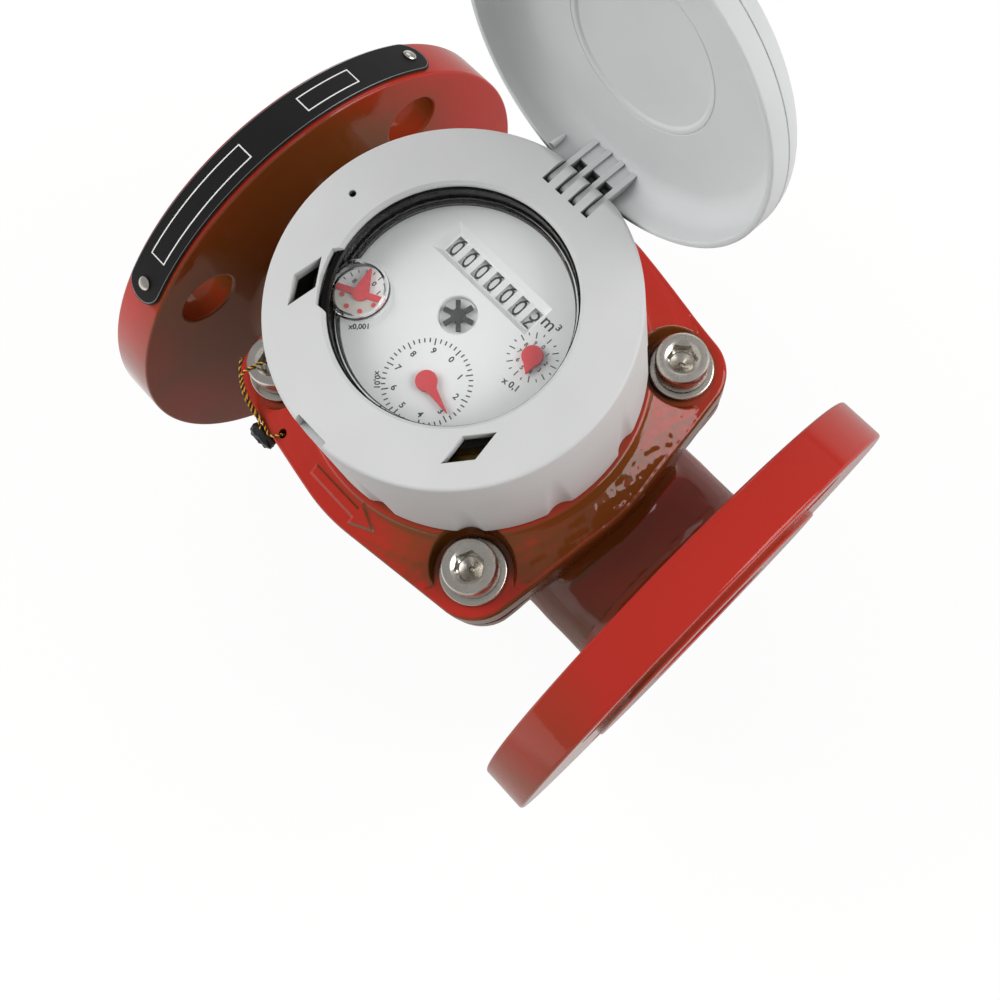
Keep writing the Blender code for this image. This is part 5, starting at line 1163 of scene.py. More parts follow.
def flared(outline, floor, top, grow):
    """Cutter of an outline whose mouth flares by a chamfer of the given width just under the surface."""
    outline = np.asarray(outline, dtype=float)
    centre = outline.mean(axis=0)
    away = outline - centre
    span = np.linalg.norm(away, axis=1, keepdims=True)
    wide = outline + away / span * grow * 1.5
    rings = ((outline, floor), (outline, top - grow), (wide, top + grow * 0.5), (wide, top + 3 * MM))
    points = np.array([np.column_stack((ring, np.full(len(ring), z))) for ring, z in rings])
    return shell(points)


def rectangle(x0, y0, x1, y1):
    """Corners of an upright rectangle, anticlockwise."""
    return [(x0, y0), (x1, y0), (x1, y1), (x0, y1)]


def polar(radius, degrees):
    """Points at a radius and angles in degrees."""
    a = np.radians(np.asarray(degrees, dtype=float))
    return np.stack((radius * np.cos(a), radius * np.sin(a)), axis=-1)


def rib_places():
    """X places of the four hinge ribs."""
    return [RIB_PITCH * (i - 1.5) for i in range(4)]


def prism_along_x(outline, low, high):
    """Extrude (y, z) points along X."""
    vertices, faces = slab(outline, low, high)
    return vertices[:, [2, 0, 1]], faces


def box(low, high):
    """A block between two opposite corners."""
    return slab(rectangle(low[0], low[1], high[0], high[1]), low[2], high[2])


class MESH_OT_meter_shroud(MeterOperator, bpy.types.Operator):
    """Register shroud with its scallops, window, recesses and hinge seat"""

    bl_idname = "mesh.meter_shroud"
    bl_label = "Register Shroud"

    def execute(self, context):
        shroud = mesh_object("shroud_moulding", shroud_solid(), smooth_angle=32.0)
        top = SHROUD_HIGH[2]
        hy, hz = HINGE[1], HINGE[2]
        rib = RIB_REACH
        floor = hz - rib - 0.9 * MM
        flat = 46.6 * MM
        side = 10.5 * MM
        block = box((-side, hy - rib - 6 * MM, floor - 4 * MM), (side, flat - 0.05 * MM, top - 3 * MM))
        shaped(shroud, block, "UNION")
        pin = top - hz
        relief = path(arc((hy, hz), pin, 90, 0, 24), (hy + 20 * MM, hz), (hy + 20 * MM, top + 5 * MM),
                      (hy, top + 5 * MM))
        wide = 18 * MM
        cutters = [prism_along_x(relief, -wide, wide),
                   box((-wide, flat, floor - 3 * MM), (wide, flat + 20 * MM, hz + 0.01 * MM))]
        shaped(shroud, merged(cutters), overlapping=True)
        lug = rib_places()[-1]
        shaped(shroud, prism_along_x(arc((hy, hz), 1.9 * MM, 0, 352, 44), -lug, lug), "UNION")
        chamfer = sizes().slot_chamfer
        cutters = []
        for x in rib_places():
            half = RIB_WIDTH / 2 + 0.3 * MM
            slot = rectangle(x - half, hy - rib - 0.9 * MM, x + half, flat + 20 * MM)
            cutters.append(slab(slot, floor, top + 3 * MM))
        tips = np.array(((33.3, -15.7), (29.3, -30.8))) * MM
        middle = tips.mean(axis=0)
        along = (tips[1] - tips[0]) / np.linalg.norm(tips[1] - tips[0])
        across = np.array((along[1], -along[0])) * 3.35 * MM
        for side in (1, -1):
            lozenge = np.array((tips[0], middle + across, tips[1], middle - across)) * (side, 1)
            cutters.append(flared(lozenge[::side], top - 4.6 * MM, top, chamfer))
        radius, outer = WINDOW_RADIUS - 1 * MM, 35.2 * MM
        notch = path(polar(radius, 196.5), polar(outer, np.linspace(200.5, 226, 12)), polar(radius, 231),
                     polar(radius, 214))
        cutters.append(flared(notch, top - 5 * MM, top, chamfer))
        sensor_hole = path((1.0 * MM, top - 6 * MM), (1.0 * MM, top - chamfer), (1.25 * MM, top + chamfer))
        cutters.append(turned(sensor_hole, 28, (-41.0 * MM, 1.9 * MM)))
        half = 5.2 * MM
        cutters.append(box((-half, -60 * MM, top - 6 * MM), (half, -47.5 * MM, top + 3 * MM)))
        shaped(shroud, merged(cutters), smooth_angle=32.0)
        place(shroud, "abs_shroud", ROOT, "register_shroud")
        pin_rod = across_pipe(rod(1.2 * MM, -10 * MM, 10 * MM, 24))
        pin_rod = moved(pin_rod, Matrix.Translation((0, hy, hz)))
        place(mesh_object("steel_hinge_pin", pin_rod), "turned_stainless_steel", ROOT, "hinge_pin")
        return {"FINISHED"}


def lid_opened(solid):
    """Turn a shell from the closed lid's place to the open one, about the hinge's axis."""
    centre = Matrix.Translation(Vector(HINGE))
    turn = centre @ Matrix.Rotation(-LID_OPEN, 4, "X") @ centre.inverted()
    return moved(solid, turn)


def lid_shell():
    """Lid as a turned shell, closed side up: shallow dish inside, rounded bend and a thin skirt."""
    rim = SHROUD_HIGH[2] + 0.3 * MM
    inner = LID_RADIUS - LID_WALL
    inside = rim + LID_DEPTH
    outer_bend = LID_BEND + LID_WALL * 0.4
    top = inside + LID_WALL
    lip = 0.5 * MM
    dish = np.array(((2, 0.7), (12, 0.7), (21.0, 0.7), (21.5, 0.62), (22.0, 0.12), (22.3, 0), (23.1, 0),
                     (23.2, 0.16), (23.6, 0.16), (23.7, 0), (34, 0))) * MM + (0, inside)
    profile = path(
        dish, arc((inner - LID_BEND, inside - LID_BEND), LID_BEND, 90, 0, 12),
        arc((inner + lip, rim + lip), lip, 180, 270, 3),
        arc((LID_RADIUS - lip, rim + lip), lip, 270, 360, 3), (LID_RADIUS, (rim + inside) / 2),
        arc((LID_RADIUS - outer_bend, top - outer_bend), outer_bend, 0, 90, 12),
        (30 * MM, top), (15 * MM, top), (2 * MM, top),
    )
    return turned(profile, 360)


def skirt_arc(reach, last):
    """Points (y, z) that follow the lid's inner bend at a depth inside its wall."""
    inside = SHROUD_HIGH[2] + 0.3 * MM + LID_DEPTH
    return arc((LID_RADIUS - LID_WALL - LID_BEND, inside - LID_BEND), LID_BEND + reach, 0, last, 10)


class MESH_OT_meter_lid(MeterOperator, bpy.types.Operator):
    """Hinged lid with its ribs, web, lug windows and snap nub"""

    bl_idname = "mesh.meter_lid"
    bl_label = "Lid"

    def execute(self, context):
        hy, hz = HINGE[1], HINGE[2]
        rim = SHROUD_HIGH[2] + 0.3 * MM
        sill = rim + 1.6 * MM
        web_low = sill + 1.4 * MM
        web_y = 44.25 * MM
        inner = LID_RADIUS - LID_WALL
        lid = mesh_object("lid_moulding", lid_shell())
        sunk = LID_WALL * 0.4
        ribs = rib_places()
        web = path((web_y, web_low), (inner + sunk, web_low), skirt_arc(sunk, 63))
        half = RIB_WIDTH / 2
        windows = []
        for left, right in zip(ribs, ribs[1:]):
            low = (left + half, web_y - 5 * MM, rim - 2 * MM)
            windows.append(box(low, (right - half, LID_RADIUS + 5 * MM, sill)))
        shaped(lid, merged(windows))
        lid_shells = [shell_of(lid), prism_along_x(web, ribs[0], ribs[-1])]
        deep = LID_WALL * 0.45
        nose = arc((hy + 0.4 * MM, hz - 2.6 * MM), 2.05 * MM, 180, 262, 12)
        outline = path(nose, arc((hy, hz), RIB_REACH, 278, 365, 18), (inner + deep, rim + 0.8 * MM),
                       skirt_arc(deep, 69))
        for x in ribs:
            rib = mesh_object("rib", prism_along_x(outline, x - half, x + half))
            lid_shells.append(shell_of(bevelled(rib, 0.14 * MM, 1)))
        place_nub = polar(inner - 0.1 * MM, 108)
        t = np.linspace(0, 1, 14)
        nub = np.column_stack((1.05 * MM * np.sqrt(1 - t**2 * 0.985), rim + 0.5 * MM + 5.6 * MM * t))
        lid_shells.append(turned(nub, 32, place_nub))
        item = mesh_object("lid_moulding", lid_opened(merged(lid_shells)), smooth_angle=30.0)
        place(item, "abs_lid", LID, "lid")
        return {"FINISHED"}


class MESH_OT_meter_dial(MeterOperator, bpy.types.Operator):
    """Dial plate with its drum recess and slots, print, glass and sealing ring"""

    bl_idname = "mesh.meter_dial"
    bl_label = "Dial and Glass"

    def execute(self, context):
        top, low = DIAL_HIGH[2], DIAL_LOW[2]
        r = DIAL_HIGH[0]
        edge = 0.2 * MM
        dial = mesh_object("dial_sheet", turned(path((r, low), (r, top - edge), (r - edge, top)), 180))
        row_x, row_y = drum_row()
        side = 1.5 * MM
        left, right = row_x[0] - side, row_x[-1] + side
        half = 2.9 * MM

        def frame_outline(margin):
            return rectangle(left - margin, row_y - half - margin * 0.8,
                             right + margin * 0.5, row_y + half + margin)

        floor = top - 2.1 * MM
        rings = ((0.5 * MM, floor), (2.4 * MM, top), (2.6 * MM, top + 1 * MM))
        recess = np.array([np.column_stack((frame_outline(m), np.full(4, z))) for m, z in rings])
        shaped(dial, shell(recess), smooth_angle=25.0)
        cutters = [box((x - side, row_y - half, low - MM), (x + side, row_y + half, top + MM)) for x in row_x]
        star = path((5.3 * MM, low - MM), (5.3 * MM, top - 0.3 * MM), (5.6 * MM, top), (5.6 * MM, top + MM))
        cutters.append(turned(star, 72))
        for name in ("pointer_x0_01_turn", "pointer_x0_1_turn", "pointer_x0_001_turn"):
            cutters.append(rod(1.1 * MM, low - MM, top + MM, 24, joint_place(name)[:2]))
        shaped(dial, merged(cutters), smooth_angle=25.0)
        place(dial, "dial_enamel", ROOT, "dial_plate")
        place(mesh_object("dial_markings", dial_print(), 60.0), "dial_ink", ROOT)
        foot = top - 0.1 * MM
        boss = path((1.0 * MM, foot), (7.2 * MM, foot), (7.2 * MM, PORT_DISC_TOP - edge),
                    (7.0 * MM, PORT_DISC_TOP), (1.0 * MM, PORT_DISC_TOP))
        place(mesh_object("port_scale_boss", turned(boss, 80, PORT_PLACE, looped=True)), "dial_enamel", ROOT)
        self.seal_and_glass()
        return {"FINISHED"}

    def seal_and_glass(self):
        """Sealing ring with the port's bite, and the pane with its raised port."""
        low, high = GASKET_LOW[2], GASKET_HIGH[2]
        outer, wall, inner = 38 * MM, 32.4 * MM, 31.2 * MM
        ledge = low + 1.2 * MM
        lip = WINDOW_RADIUS + 1.5 * MM
        lip_top = SHROUD_HIGH[2] - 2.1 * MM
        profile = path(
            (inner, low), (outer, low), (outer, high), (lip, high), (lip, lip_top),
            (wall + 0.5 * MM, lip_top), (wall, lip_top - 0.5 * MM), (wall, high - 0.5 * MM),
            (wall + 0.25 * MM, high - 2.2 * MM), (wall, high - 3.0 * MM), (wall, ledge), (inner, ledge),
        )
        seal = mesh_object("glass_seal_ring", turned(profile, 240, looped=True))
        shaped(seal, rod(8.7 * MM, ledge, high + MM, 96, PORT_PLACE))
        place(seal, "sealing_rubber", ROOT, "glass_gasket")
        bottom, top = GLASS_LOW[2], GLASS_HIGH[2]
        pane_top = bottom + 3 * MM
        r = GLASS_HIGH[0]
        low_edge, high_edge = 0.2 * MM, 0.4 * MM
        pane = path((r - low_edge, bottom), (r, bottom + low_edge),
                    (r, pane_top - high_edge), (r - high_edge, pane_top))
        glass = mesh_object("register_pane", turned(pane, 180))
        port = path((8.4 * MM, bottom + 0.5 * MM), (8.4 * MM, top - 0.6 * MM), (8.22 * MM, top - 0.18 * MM),
                    (7.8 * MM, top))
        shaped(glass, turned(port, 96, PORT_PLACE), "UNION")
        room = path((7.5 * MM, bottom - MM), (7.5 * MM, top - 1.4 * MM), (7.0 * MM, top - 0.9 * MM))
        shaped(glass, turned(room, 96, PORT_PLACE), smooth_angle=30.0)
        place(glass, "cast_acrylic_pane", ROOT, "register_glass")


def drum_row():
    """X places of the drums' middles, from the highest digit to the units, and their Y place."""
    places = [joint_place(f"number_drum_{number}_turn") for number in range(7, 0, -1)]
    return [float(p[0]) for p in places], float(places[0][1])


def ticks(centre, inner, outer, longer, count, every, width, top, long_width=None):
    """Radial strokes round a centre, clockwise from +Y; every so many is longer and heavier."""
    strokes = []
    for i in range(count):
        a = math.pi / 2 - 2 * math.pi * i / count
        major = i % every == 0
        near = longer if major else inner
        half = (long_width or width) / 2 if major else width / 2
        stroke = slab(rectangle(near, -half, outer, half), top, top + sizes().print_height)
        turn = Matrix.Translation((*centre, 0.0)) @ Matrix.Rotation(a, 4, "Z")
        strokes.append(moved(stroke, turn))
    return strokes


def dial_digits(centre, radius, height, top):
    """The digits 0 to 9 round a centre, clockwise from +Y, all upright along +Y."""
    words = []
    for digit in range(10):
        a = math.pi / 2 - 2 * math.pi * digit / 10
        place_here = (centre[0] + radius * math.cos(a), centre[1] + radius * math.sin(a))
        word = lettering(str(digit), height, sizes().print_height, place_here, bold=0.025)
        words.append(moved(word, Matrix.Translation((0, 0, top + sizes().print_height / 2))))
    return words


def dial_print():
    """Scales, digits and multipliers on the dial."""
    top = DIAL_HIGH[2]
    slow = joint_place("pointer_x0_1_turn")[:2]
    middle = joint_place("pointer_x0_01_turn")[:2]
    shells = ticks(middle, 10.9 * MM, 12.1 * MM, 10.2 * MM, 50, 5, 0.34 * MM, top)
    shells += dial_digits(middle, 8.7 * MM, 1.65 * MM, top)
    shells += ticks(slow, 6.1 * MM, 6.9 * MM, 5.2 * MM, 20, 2, 0.3 * MM, top)
    shells += dial_digits(slow, 3.9 * MM, 1.15 * MM, top)
    shells += ticks(PORT_PLACE, 5.9 * MM, 6.7 * MM, 5.5 * MM, 20, 2, 0.26 * MM, PORT_DISC_TOP)
    shells += dial_digits(PORT_PLACE, 4.2 * MM, 1.25 * MM, PORT_DISC_TOP)
    words = (
        ("m³", 3.5, 0.008, (19.8, 15.4), 0), ("x 0,1", 1.75, 0.025, (23.7, -3.5), 10),
        ("x0,01", 1.5, 0.025, (-2.0, -27.0), -45), ("x0,001", 1.45, 0.025, (-16.3, -20.9), 45),
    )
    thick = sizes().print_height
    for text, height, bold, centre, angle in words:
        spot = (centre[0] * MM, centre[1] * MM)
        word = lettering(text, height * MM, thick, spot, math.radians(angle), bold=bold)
        shells.append(moved(word, Matrix.Translation((0, 0, top + thick / 2))))
    return merged(shells)


class MESH_OT_meter_drums(MeterOperator, bpy.types.Operator):
    """Number drums with their digits"""

    bl_idname = "mesh.meter_drums"
    bl_label = "Number Drums"

    def execute(self, context):
        for number in range(1, 8):
            body = f"number_drum_{number}"
            low, high = corners(body)
            half = (high[0] - low[0]) / 2
            r = DRUM_RADIUS
            hole, rim, edge = 1.8 * MM, r - 0.3 * MM, half - 0.15 * MM
            profile = path((hole, -half), (rim, -half), (r, -edge), (r, edge), (rim, half), (hole, half))
            place_here = Matrix.Translation(Vector(joint_place(f"{body}_turn")))
            drum = moved(across_pipe(turned(profile, 80, looped=True)), place_here)
            place(mesh_object(f"drum_{number}", drum), "drum_acetal", body, body)
            rolled = 0.46 if number == 1 else 0.0
            value = 5 if number == 1 else 0
            shells = []
            for digit in range(10):
                word, faces = lettering(str(digit), sizes().digit_height, 1.0, wide=0.78, bold=0.0)
                a = word[:, 1] / r - math.radians(36) * (digit - value - rolled)
                reach = r + np.where(word[:, 2] > 0, sizes().print_height, -0.05 * MM)
                bent = np.column_stack((word[:, 0], reach * np.sin(a), reach * np.cos(a)))
                shells.append((bent, faces))
            digits = moved(merged(shells), place_here)
            place(mesh_object(f"drum_{number}_digits", digits, 60.0), "dial_ink", body)
        return {"FINISHED"}


def pointer_outline(hub, reach):
    """Drop-shaped pointer: a round hub that runs over into a straight-sided needle along +X."""
    neck = hub * 0.42
    tip = 0.14 * MM
    return path(arc((0, 0), hub, 34, 326, 44), (hub * 1.12, -neck), (reach, -tip), (reach + 0.12 * MM, 0),
                (reach, tip), (hub * 1.12, neck))


def upright(centre, degrees):
    """Matrix that turns about +Z and then shifts to a centre in plan."""
    return Matrix.Translation((centre[0], centre[1], 0)) @ Matrix.Rotation(math.radians(degrees), 4, "Z")


class MESH_OT_meter_pointers(MeterOperator, bpy.types.Operator):
    """Red pointers, the port's pointer and the star"""

    bl_idname = "mesh.meter_pointers"
    bl_label = "Pointers"

    def execute(self, context):
        for name, reach, angle in (("pointer_x0_01", 10.3 * MM, -12), ("pointer_x0_1", 5.1 * MM, -64)):
            low, high = corners(name)
            centre = joint_place(f"{name}_turn")
            bottom, top = centre[2], high[2]
            blade = mesh_object("blade", slab(pointer_outline(2.9 * MM, reach), bottom, top))
            blade = shell_of(bevelled(blade, 0.22 * MM, 3, 40))
            stem = rod(0.8 * MM, low[2], bottom + 0.1 * MM, 20)
            item = mesh_object(f"{name}_needle", moved(merged([blade, stem]), upright(centre, angle)))
            place(item, "pointer_acetal", name, name)
        self.port_pointer()
        self.star()
        return {"FINISHED"}

    def port_pointer(self):
        """Half disc with four dots, crossbar, hub and short arrow under the port."""
        name = "pointer_x0_001"
        low, high = corners(name)
        centre = joint_place(f"{name}_turn")
        bottom, top = centre[2], high[2]
        middle = (bottom + top) / 2
        r = 6.6 * MM
        turn = upright(centre, 26)
        half_disc = slab(arc((0, 0), r, 180, 360, 48), bottom, middle)
        disc = mesh_object("port_half_disc", moved(half_disc, turn))
        place(bevelled(disc, 0.08 * MM, 1), "port_disc_acetal", name, name)
        bar = slab(rectangle(-r * 0.98, -0.8 * MM, r * 0.98, 0.8 * MM), bottom, top)
        tip = 7.0 * MM
        arrow = slab([(-2.0 * MM, 0), (2.0 * MM, 0), (0.12 * MM, tip), (-0.12 * MM, tip)], bottom, top)
        hub = rod(2.0 * MM, bottom, top + 0.1 * MM, 40)
        red = [bar, arrow, hub, rod(0.8 * MM, low[2], bottom, 20)]
        for spot in polar(4.6 * MM, (200, 243, 290, 337)):
            red.append(rod(0.62 * MM, middle - 0.1 * MM, middle + 0.2 * MM, 24, spot))
        item = mesh_object("port_arrow", moved(merged(red), turn))
        place(item, "pointer_acetal", name, name)

    def star(self):
        """Six-armed star, with its light ring and spindle."""
        name = "star_indicator"
        low, high = corners(name)
        top = high[2]
        bottom = top - 1.0 * MM
        arms = []
        for k in range(3):
            arm = slab(rectangle(-4.4 * MM, -0.62 * MM, 4.4 * MM, 0.62 * MM), bottom, top)
            arms.append(moved(arm, Matrix.Rotation(math.radians(60 * k + 77), 4, "Z")))
        hub = turned(path((2.0 * MM, bottom), (2.0 * MM, top), (1.6 * MM, top + 0.15 * MM)), 32)
        shells = arms + [hub, rod(0.8 * MM, low[2], bottom, 16)]
        place(mesh_object("trickle_star", merged(shells)), "star_acetal", name, name)
        bed_top = DIAL_LOW[2] + 0.5 * MM
        bed_low = bed_top - 0.3 * MM
        bed = path((1.3 * MM, bed_low), (5.0 * MM, bed_low), (5.2 * MM, bed_top), (1.3 * MM, bed_top))
        place(mesh_object("star_bed", turned(bed, 64, looped=True)), "drum_acetal", ROOT)


def on_rim(run, x, radius):
    """Point on the inlet flange's rim: angle a = pi/2 - run / radius from +Y, at the given X."""
    a = math.pi / 2 - run / radius
    return np.stack((x + 0 * a, radius * np.cos(a), radius * np.sin(a)), axis=-1)


def rim_strip(line, width, height, radius):
    """Raised strip along a closed (run, x) line on the rim: four points across, carried round the line."""
    line = np.asarray(line, dtype=float)
    ahead = np.roll(line, -1, axis=0) - line
    behind = line - np.roll(line, 1, axis=0)
    ahead /= np.linalg.norm(ahead, axis=1)[:, None]
    behind /= np.linalg.norm(behind, axis=1)[:, None]
    tangent = ahead + behind
    tangent /= np.linalg.norm(tangent, axis=1)[:, None]
    miter = 1 / np.maximum(0.5, (tangent * ahead).sum(axis=1))
    normal = np.column_stack((-tangent[:, 1], tangent[:, 0])) * miter[:, None] * width / 2
    rows = []
    for side, lift in ((-1, -0.05 * MM), (1, -0.05 * MM), (1, height), (-1, height)):
        spot = line + normal * side
        rows.append(on_rim(spot[:, 0], spot[:, 1], radius + lift))
    return shell(np.array(rows), wrap_rows=True)


def plate_blank(centre_x, end, straight, half, radius, thickness):
    """Plate with round ends, bent round the rim: a section at each run s along the rim.

    The section's half width is sqrt(e^2 - p^2), where e is the ends' radius and p = max(0, |s| - straight).
    Near the ends the runs crowd as s = half - e (1 - cos u), so that the round ends stay smooth.
    """
    t = np.concatenate((np.linspace(0.02, 1, 14), np.linspace(1, 2, 60)[1:-1], np.linspace(2, 2.98, 14)))
    first = -half + end * (1 - np.cos(np.pi / 2 * t))
    last = half - end * (1 - np.cos(np.pi / 2 * (3 - t)))
    run = np.where(t < 1, first, np.where(t > 2, last, -straight + 2 * straight * (t - 1)))
    past = np.maximum(0, np.abs(run) - straight)
    width = np.sqrt(np.maximum(end**2 - past**2, 1e-9))
    edge = 0.2 * MM
    sections = ((-1, 0, 0), (-1, 0, thickness - edge), (-1, edge, thickness), (1, edge, thickness),
                (1, 0, thickness - edge), (1, 0, 0))
    rows = [on_rim(run, centre_x + side * (width - inset), radius - thickness + lift)
            for side, inset, lift in sections]
    return shell(np.array(rows).transpose(1, 0, 2))


class MESH_OT_meter_nameplate(MeterOperator, bpy.types.Operator):
    """Blank nameplate on the inlet flange's rim, with its printed frames and rivets"""

    bl_idname = "mesh.meter_nameplate"
    bl_label = "Nameplate"

    def execute(self, context):
        low_x, high_x = PLATE_LOW[0] - 2.0 * MM, PLATE_HIGH[0]
        centre_x = (low_x + high_x) / 2
        end = (high_x - low_x) / 2
        radius = PLATE_HIGH[2]
        half = math.radians(45.6) * radius
        straight = half - end
        blank = plate_blank(centre_x, end, straight, half, radius, 0.8 * MM)
        place(mesh_object("nameplate_blank", blank), "anodised_plate", ROOT, "nameplate")
        frames = []
        for first, last in ((-34.2, -4.6), (10.8, 24.2)):
            runs = np.radians(np.linspace(first, last, 24)) * radius
            near, far = (np.column_stack((runs, np.full(24, centre_x + side * 2.9 * MM))) for side in (-1, 1))
            frames.append(rim_strip(np.concatenate((near, far[::-1])), 0.4 * MM, 0.03 * MM, radius))
        bend = np.linspace(-np.pi / 2, np.pi / 2, 16)
        reach = end - 0.35 * MM
        round_end = np.column_stack((straight + reach * np.cos(bend), reach * np.sin(bend)))
        long = np.linspace(-straight, straight, 42)[1:-1]
        long_side = np.column_stack((long[::-1], np.full(40, reach)))
        line = np.concatenate((round_end, long_side, -round_end, -long_side)) + (0, centre_x)
        edge_line = rim_strip(line, 0.16 * MM, 0.02 * MM, radius)
        place(mesh_object("nameplate_frames", merged(frames), 60.0), "plate_white_print", ROOT)
        place(mesh_object("nameplate_edge_line", edge_line, 60.0), "bare_aluminium_edge", ROOT)
        dome = ((1.2, -3.5), (1.2, -0.1), (2.2, -0.1), (2.2, 0.25), (1.9, 0.62), (1.35, 0.88), (0.6, 1))
        dome = np.array(dome) * MM + (0, radius + 0.35 * MM)
        for number, angle in ((1, 41), (2, -41)):
            spot = Matrix.Translation((centre_x, 0, 0)) @ Matrix.Rotation(math.radians(-angle), 4, "X")
            rivet = mesh_object(f"rivet_{number}", moved(turned(dome, 40), spot))
            place(rivet, "turned_stainless_steel", ROOT, f"nameplate_rivet_{number}")
        return {"FINISHED"}


# Listed points of the sealing wire and of its loose tail, in mm.
WIRE_ROUTE = (
    (-43.6, -44.0, 60.2), (-43.9, -45.0, 64.3), (-44.6, -47.0, 65.4), (-45.4, -49.2, 65.3),
    (-46.3, -51.2, 64.2), (-46.8, -52.6, 62.2), (-45.8, -53.9, 60.2), (-44.2, -55.0, 58.6),
    (-42.4, -56.0, 56.8), (-40.6, -56.8, 55.0), (-38.4, -57.3, 53.6), (-36.2, -57.7, 53.1),
    (-34.1, -58.2, 53.1), (-31.9, -58.8, 53.3), (-29.9, -59.0, 54.0), (-28.1, -57.9, 55.3),
    (-27.2, -56.5, 55.6), (-27.2, -55.8, 53.0),
)
TAIL_ROUTE = (
    (-50.1, -49.4, 64.5), (-49.2, -50.7, 63.7), (-48.2, -52.2, 62.4), (-46.8, -53.8, 60.8),
    (-45.0, -55.4, 58.6), (-43.0, -56.7, 56.7), (-40.9, -57.4, 55.0), (-38.7, -58.0, 53.5),
    (-36.5, -58.4, 52.8), (-34.4, -59.7, 52.2), (-32.8, -60.6, 51.2), (-32.6, -60.9, 49.6),
)


def twisted_pair(line, phase):
    """Two strands laid round each other along a line, each of two plies; yellow first, then dark.

    A ply's centre is p + r (n cos a + b sin a), where a = 2 pi s / pitch + 0.9 sin(s / 1.3 mm) + its own
    phase, s is the length along the line, and n and b are the line's carried normals.
    """
    _, normal, side = swept(line, 1 * MM, 4)
    along = np.concatenate(([0], np.cumsum(np.linalg.norm(np.diff(line, axis=0), axis=1))))
    pitch = 2.0 * MM
    strand = sizes().wire_strand
    pair = []
    for turn in (0, math.pi):
        plies = []
        for ply in (0.0, 0.7):
            a = 2 * math.pi * along / pitch + 0.9 * np.sin(along / (1.3 * MM)) + phase + turn + ply
            centre = line + strand * 1.15 * (normal * np.cos(a)[:, None] + side * np.sin(a)[:, None])
            plies.append(swept(centre, strand * 0.9, 8)[0])
        pair.append(merged(plies))
    return pair


def crimped_seal():
    """Plastic seal pressed round the wire: a short cylinder along Y, squeezed out of round.

    Its radius at the share u of its half length is r (1 - 0.55 |u|^5) (1 + 0.06 sin(3a + 1) + 0.035 sin 7a),
    and its skin is pushed in and out by lumps, with fine grooves across its flat ends.
    """
    low, high = corners("wire_seal")
    thick = (high[1] - low[1]) / 2 * 1.3
    r = (high[0] - low[0]) / 2 * 1.12
    u = np.linspace(-1, 1, 28)[:, None]
    a = np.linspace(0, 2 * math.pi, 64, endpoint=False)
    out_of_round = 1 + 0.06 * np.sin(3 * a + 1.0) + 0.035 * np.sin(7 * a)
    radius = r * (1 - np.abs(u) ** 5 * 0.55) * out_of_round
    x = radius * np.cos(a)
    z = radius * np.sin(a)
    y = np.broadcast_to(u * thick, x.shape)
    crease = 0.55 * MM * lumps(x, y, z, 2.6 * MM, 7)
    groove = 0.25 * MM * np.cos(z / (1.3 * MM) * math.pi)
    ends = np.sign(u) * (np.abs(u) > 0.9)
    push = np.stack((x / r * crease, (crease + groove) * ends, z / r * crease), axis=-1)
    return shell(np.stack((x, y, z), axis=-1) + push + (low + high) / 2)


class MESH_OT_meter_seal(MeterOperator, bpy.types.Operator):
    """Sealing wire of twisted strands with its loose tail, and its crimped seal"""

    bl_idname = "mesh.meter_seal"
    bl_label = "Sealing Wire"

    def execute(self, context):
        line = smooth_line(np.array(WIRE_ROUTE) * MM, 460)
        tail = smooth_line(np.array(TAIL_ROUTE) * MM, 320)
        for route, phase, word in ((line, 0.0, "sealing"), (tail, 1.4, "tail")):
            looks = (("yellow", "yellow_nylon_strand"), ("dark", "dark_nylon_strand"))
            for solid, (shade, look) in zip(twisted_pair(route, phase), looks):
                item = mesh_object(f"{word}_strand_{shade}", solid, 80.0)
                place(item, look, ROOT, "seal_wire")
        seal = mesh_object("crimped_seal", crimped_seal(), 40.0)
        place(seal, "crimped_seal_plastic", ROOT, "wire_seal")
        return {"FINISHED"}


class MESH_OT_meter_inner_parts(MeterOperator, bpy.types.Operator):
    """Finishes of the measuring insert and of the register's inner parts"""

    bl_idname = "mesh.meter_inner_parts"
    bl_label = "Inner Parts"

    def execute(self, context):
        looks = {
            "glass_filled_nylon": ("insert_head", "turbine_housing"),
            "white_acetal": ("flow_straightener", "outlet_bracket", "rotor", "drive_shaft"),
            "black_acetal": ("front_bearing", "rear_bearing", "movement_frame"),
            "drawn_brass": ("register_can",),
            "turned_stainless_steel": ("drum_axle",),
        }
        for look, names in looks.items():
            for name in names:
                for slot in frame["nodes"][name].material_slots:
                    slot.material = finish(look)
        return {"FINISHED"}


CAMERA_PLACE = (106.727 * MM, -42.950 * MM, 402.510 * MM)
CAMERA_RIGHT = (0.69975, 0.71294, -0.04544)
CAMERA_UP = (-0.67115, 0.67786, 0.30009)
CAMERA_BACK = (0.24475, -0.17950, 0.95283)
CAMERA_LENS = 43.42
CAMERA_SHIFT = (-0.0731, -0.1437)
BACKDROP_STRENGTH = 1.08


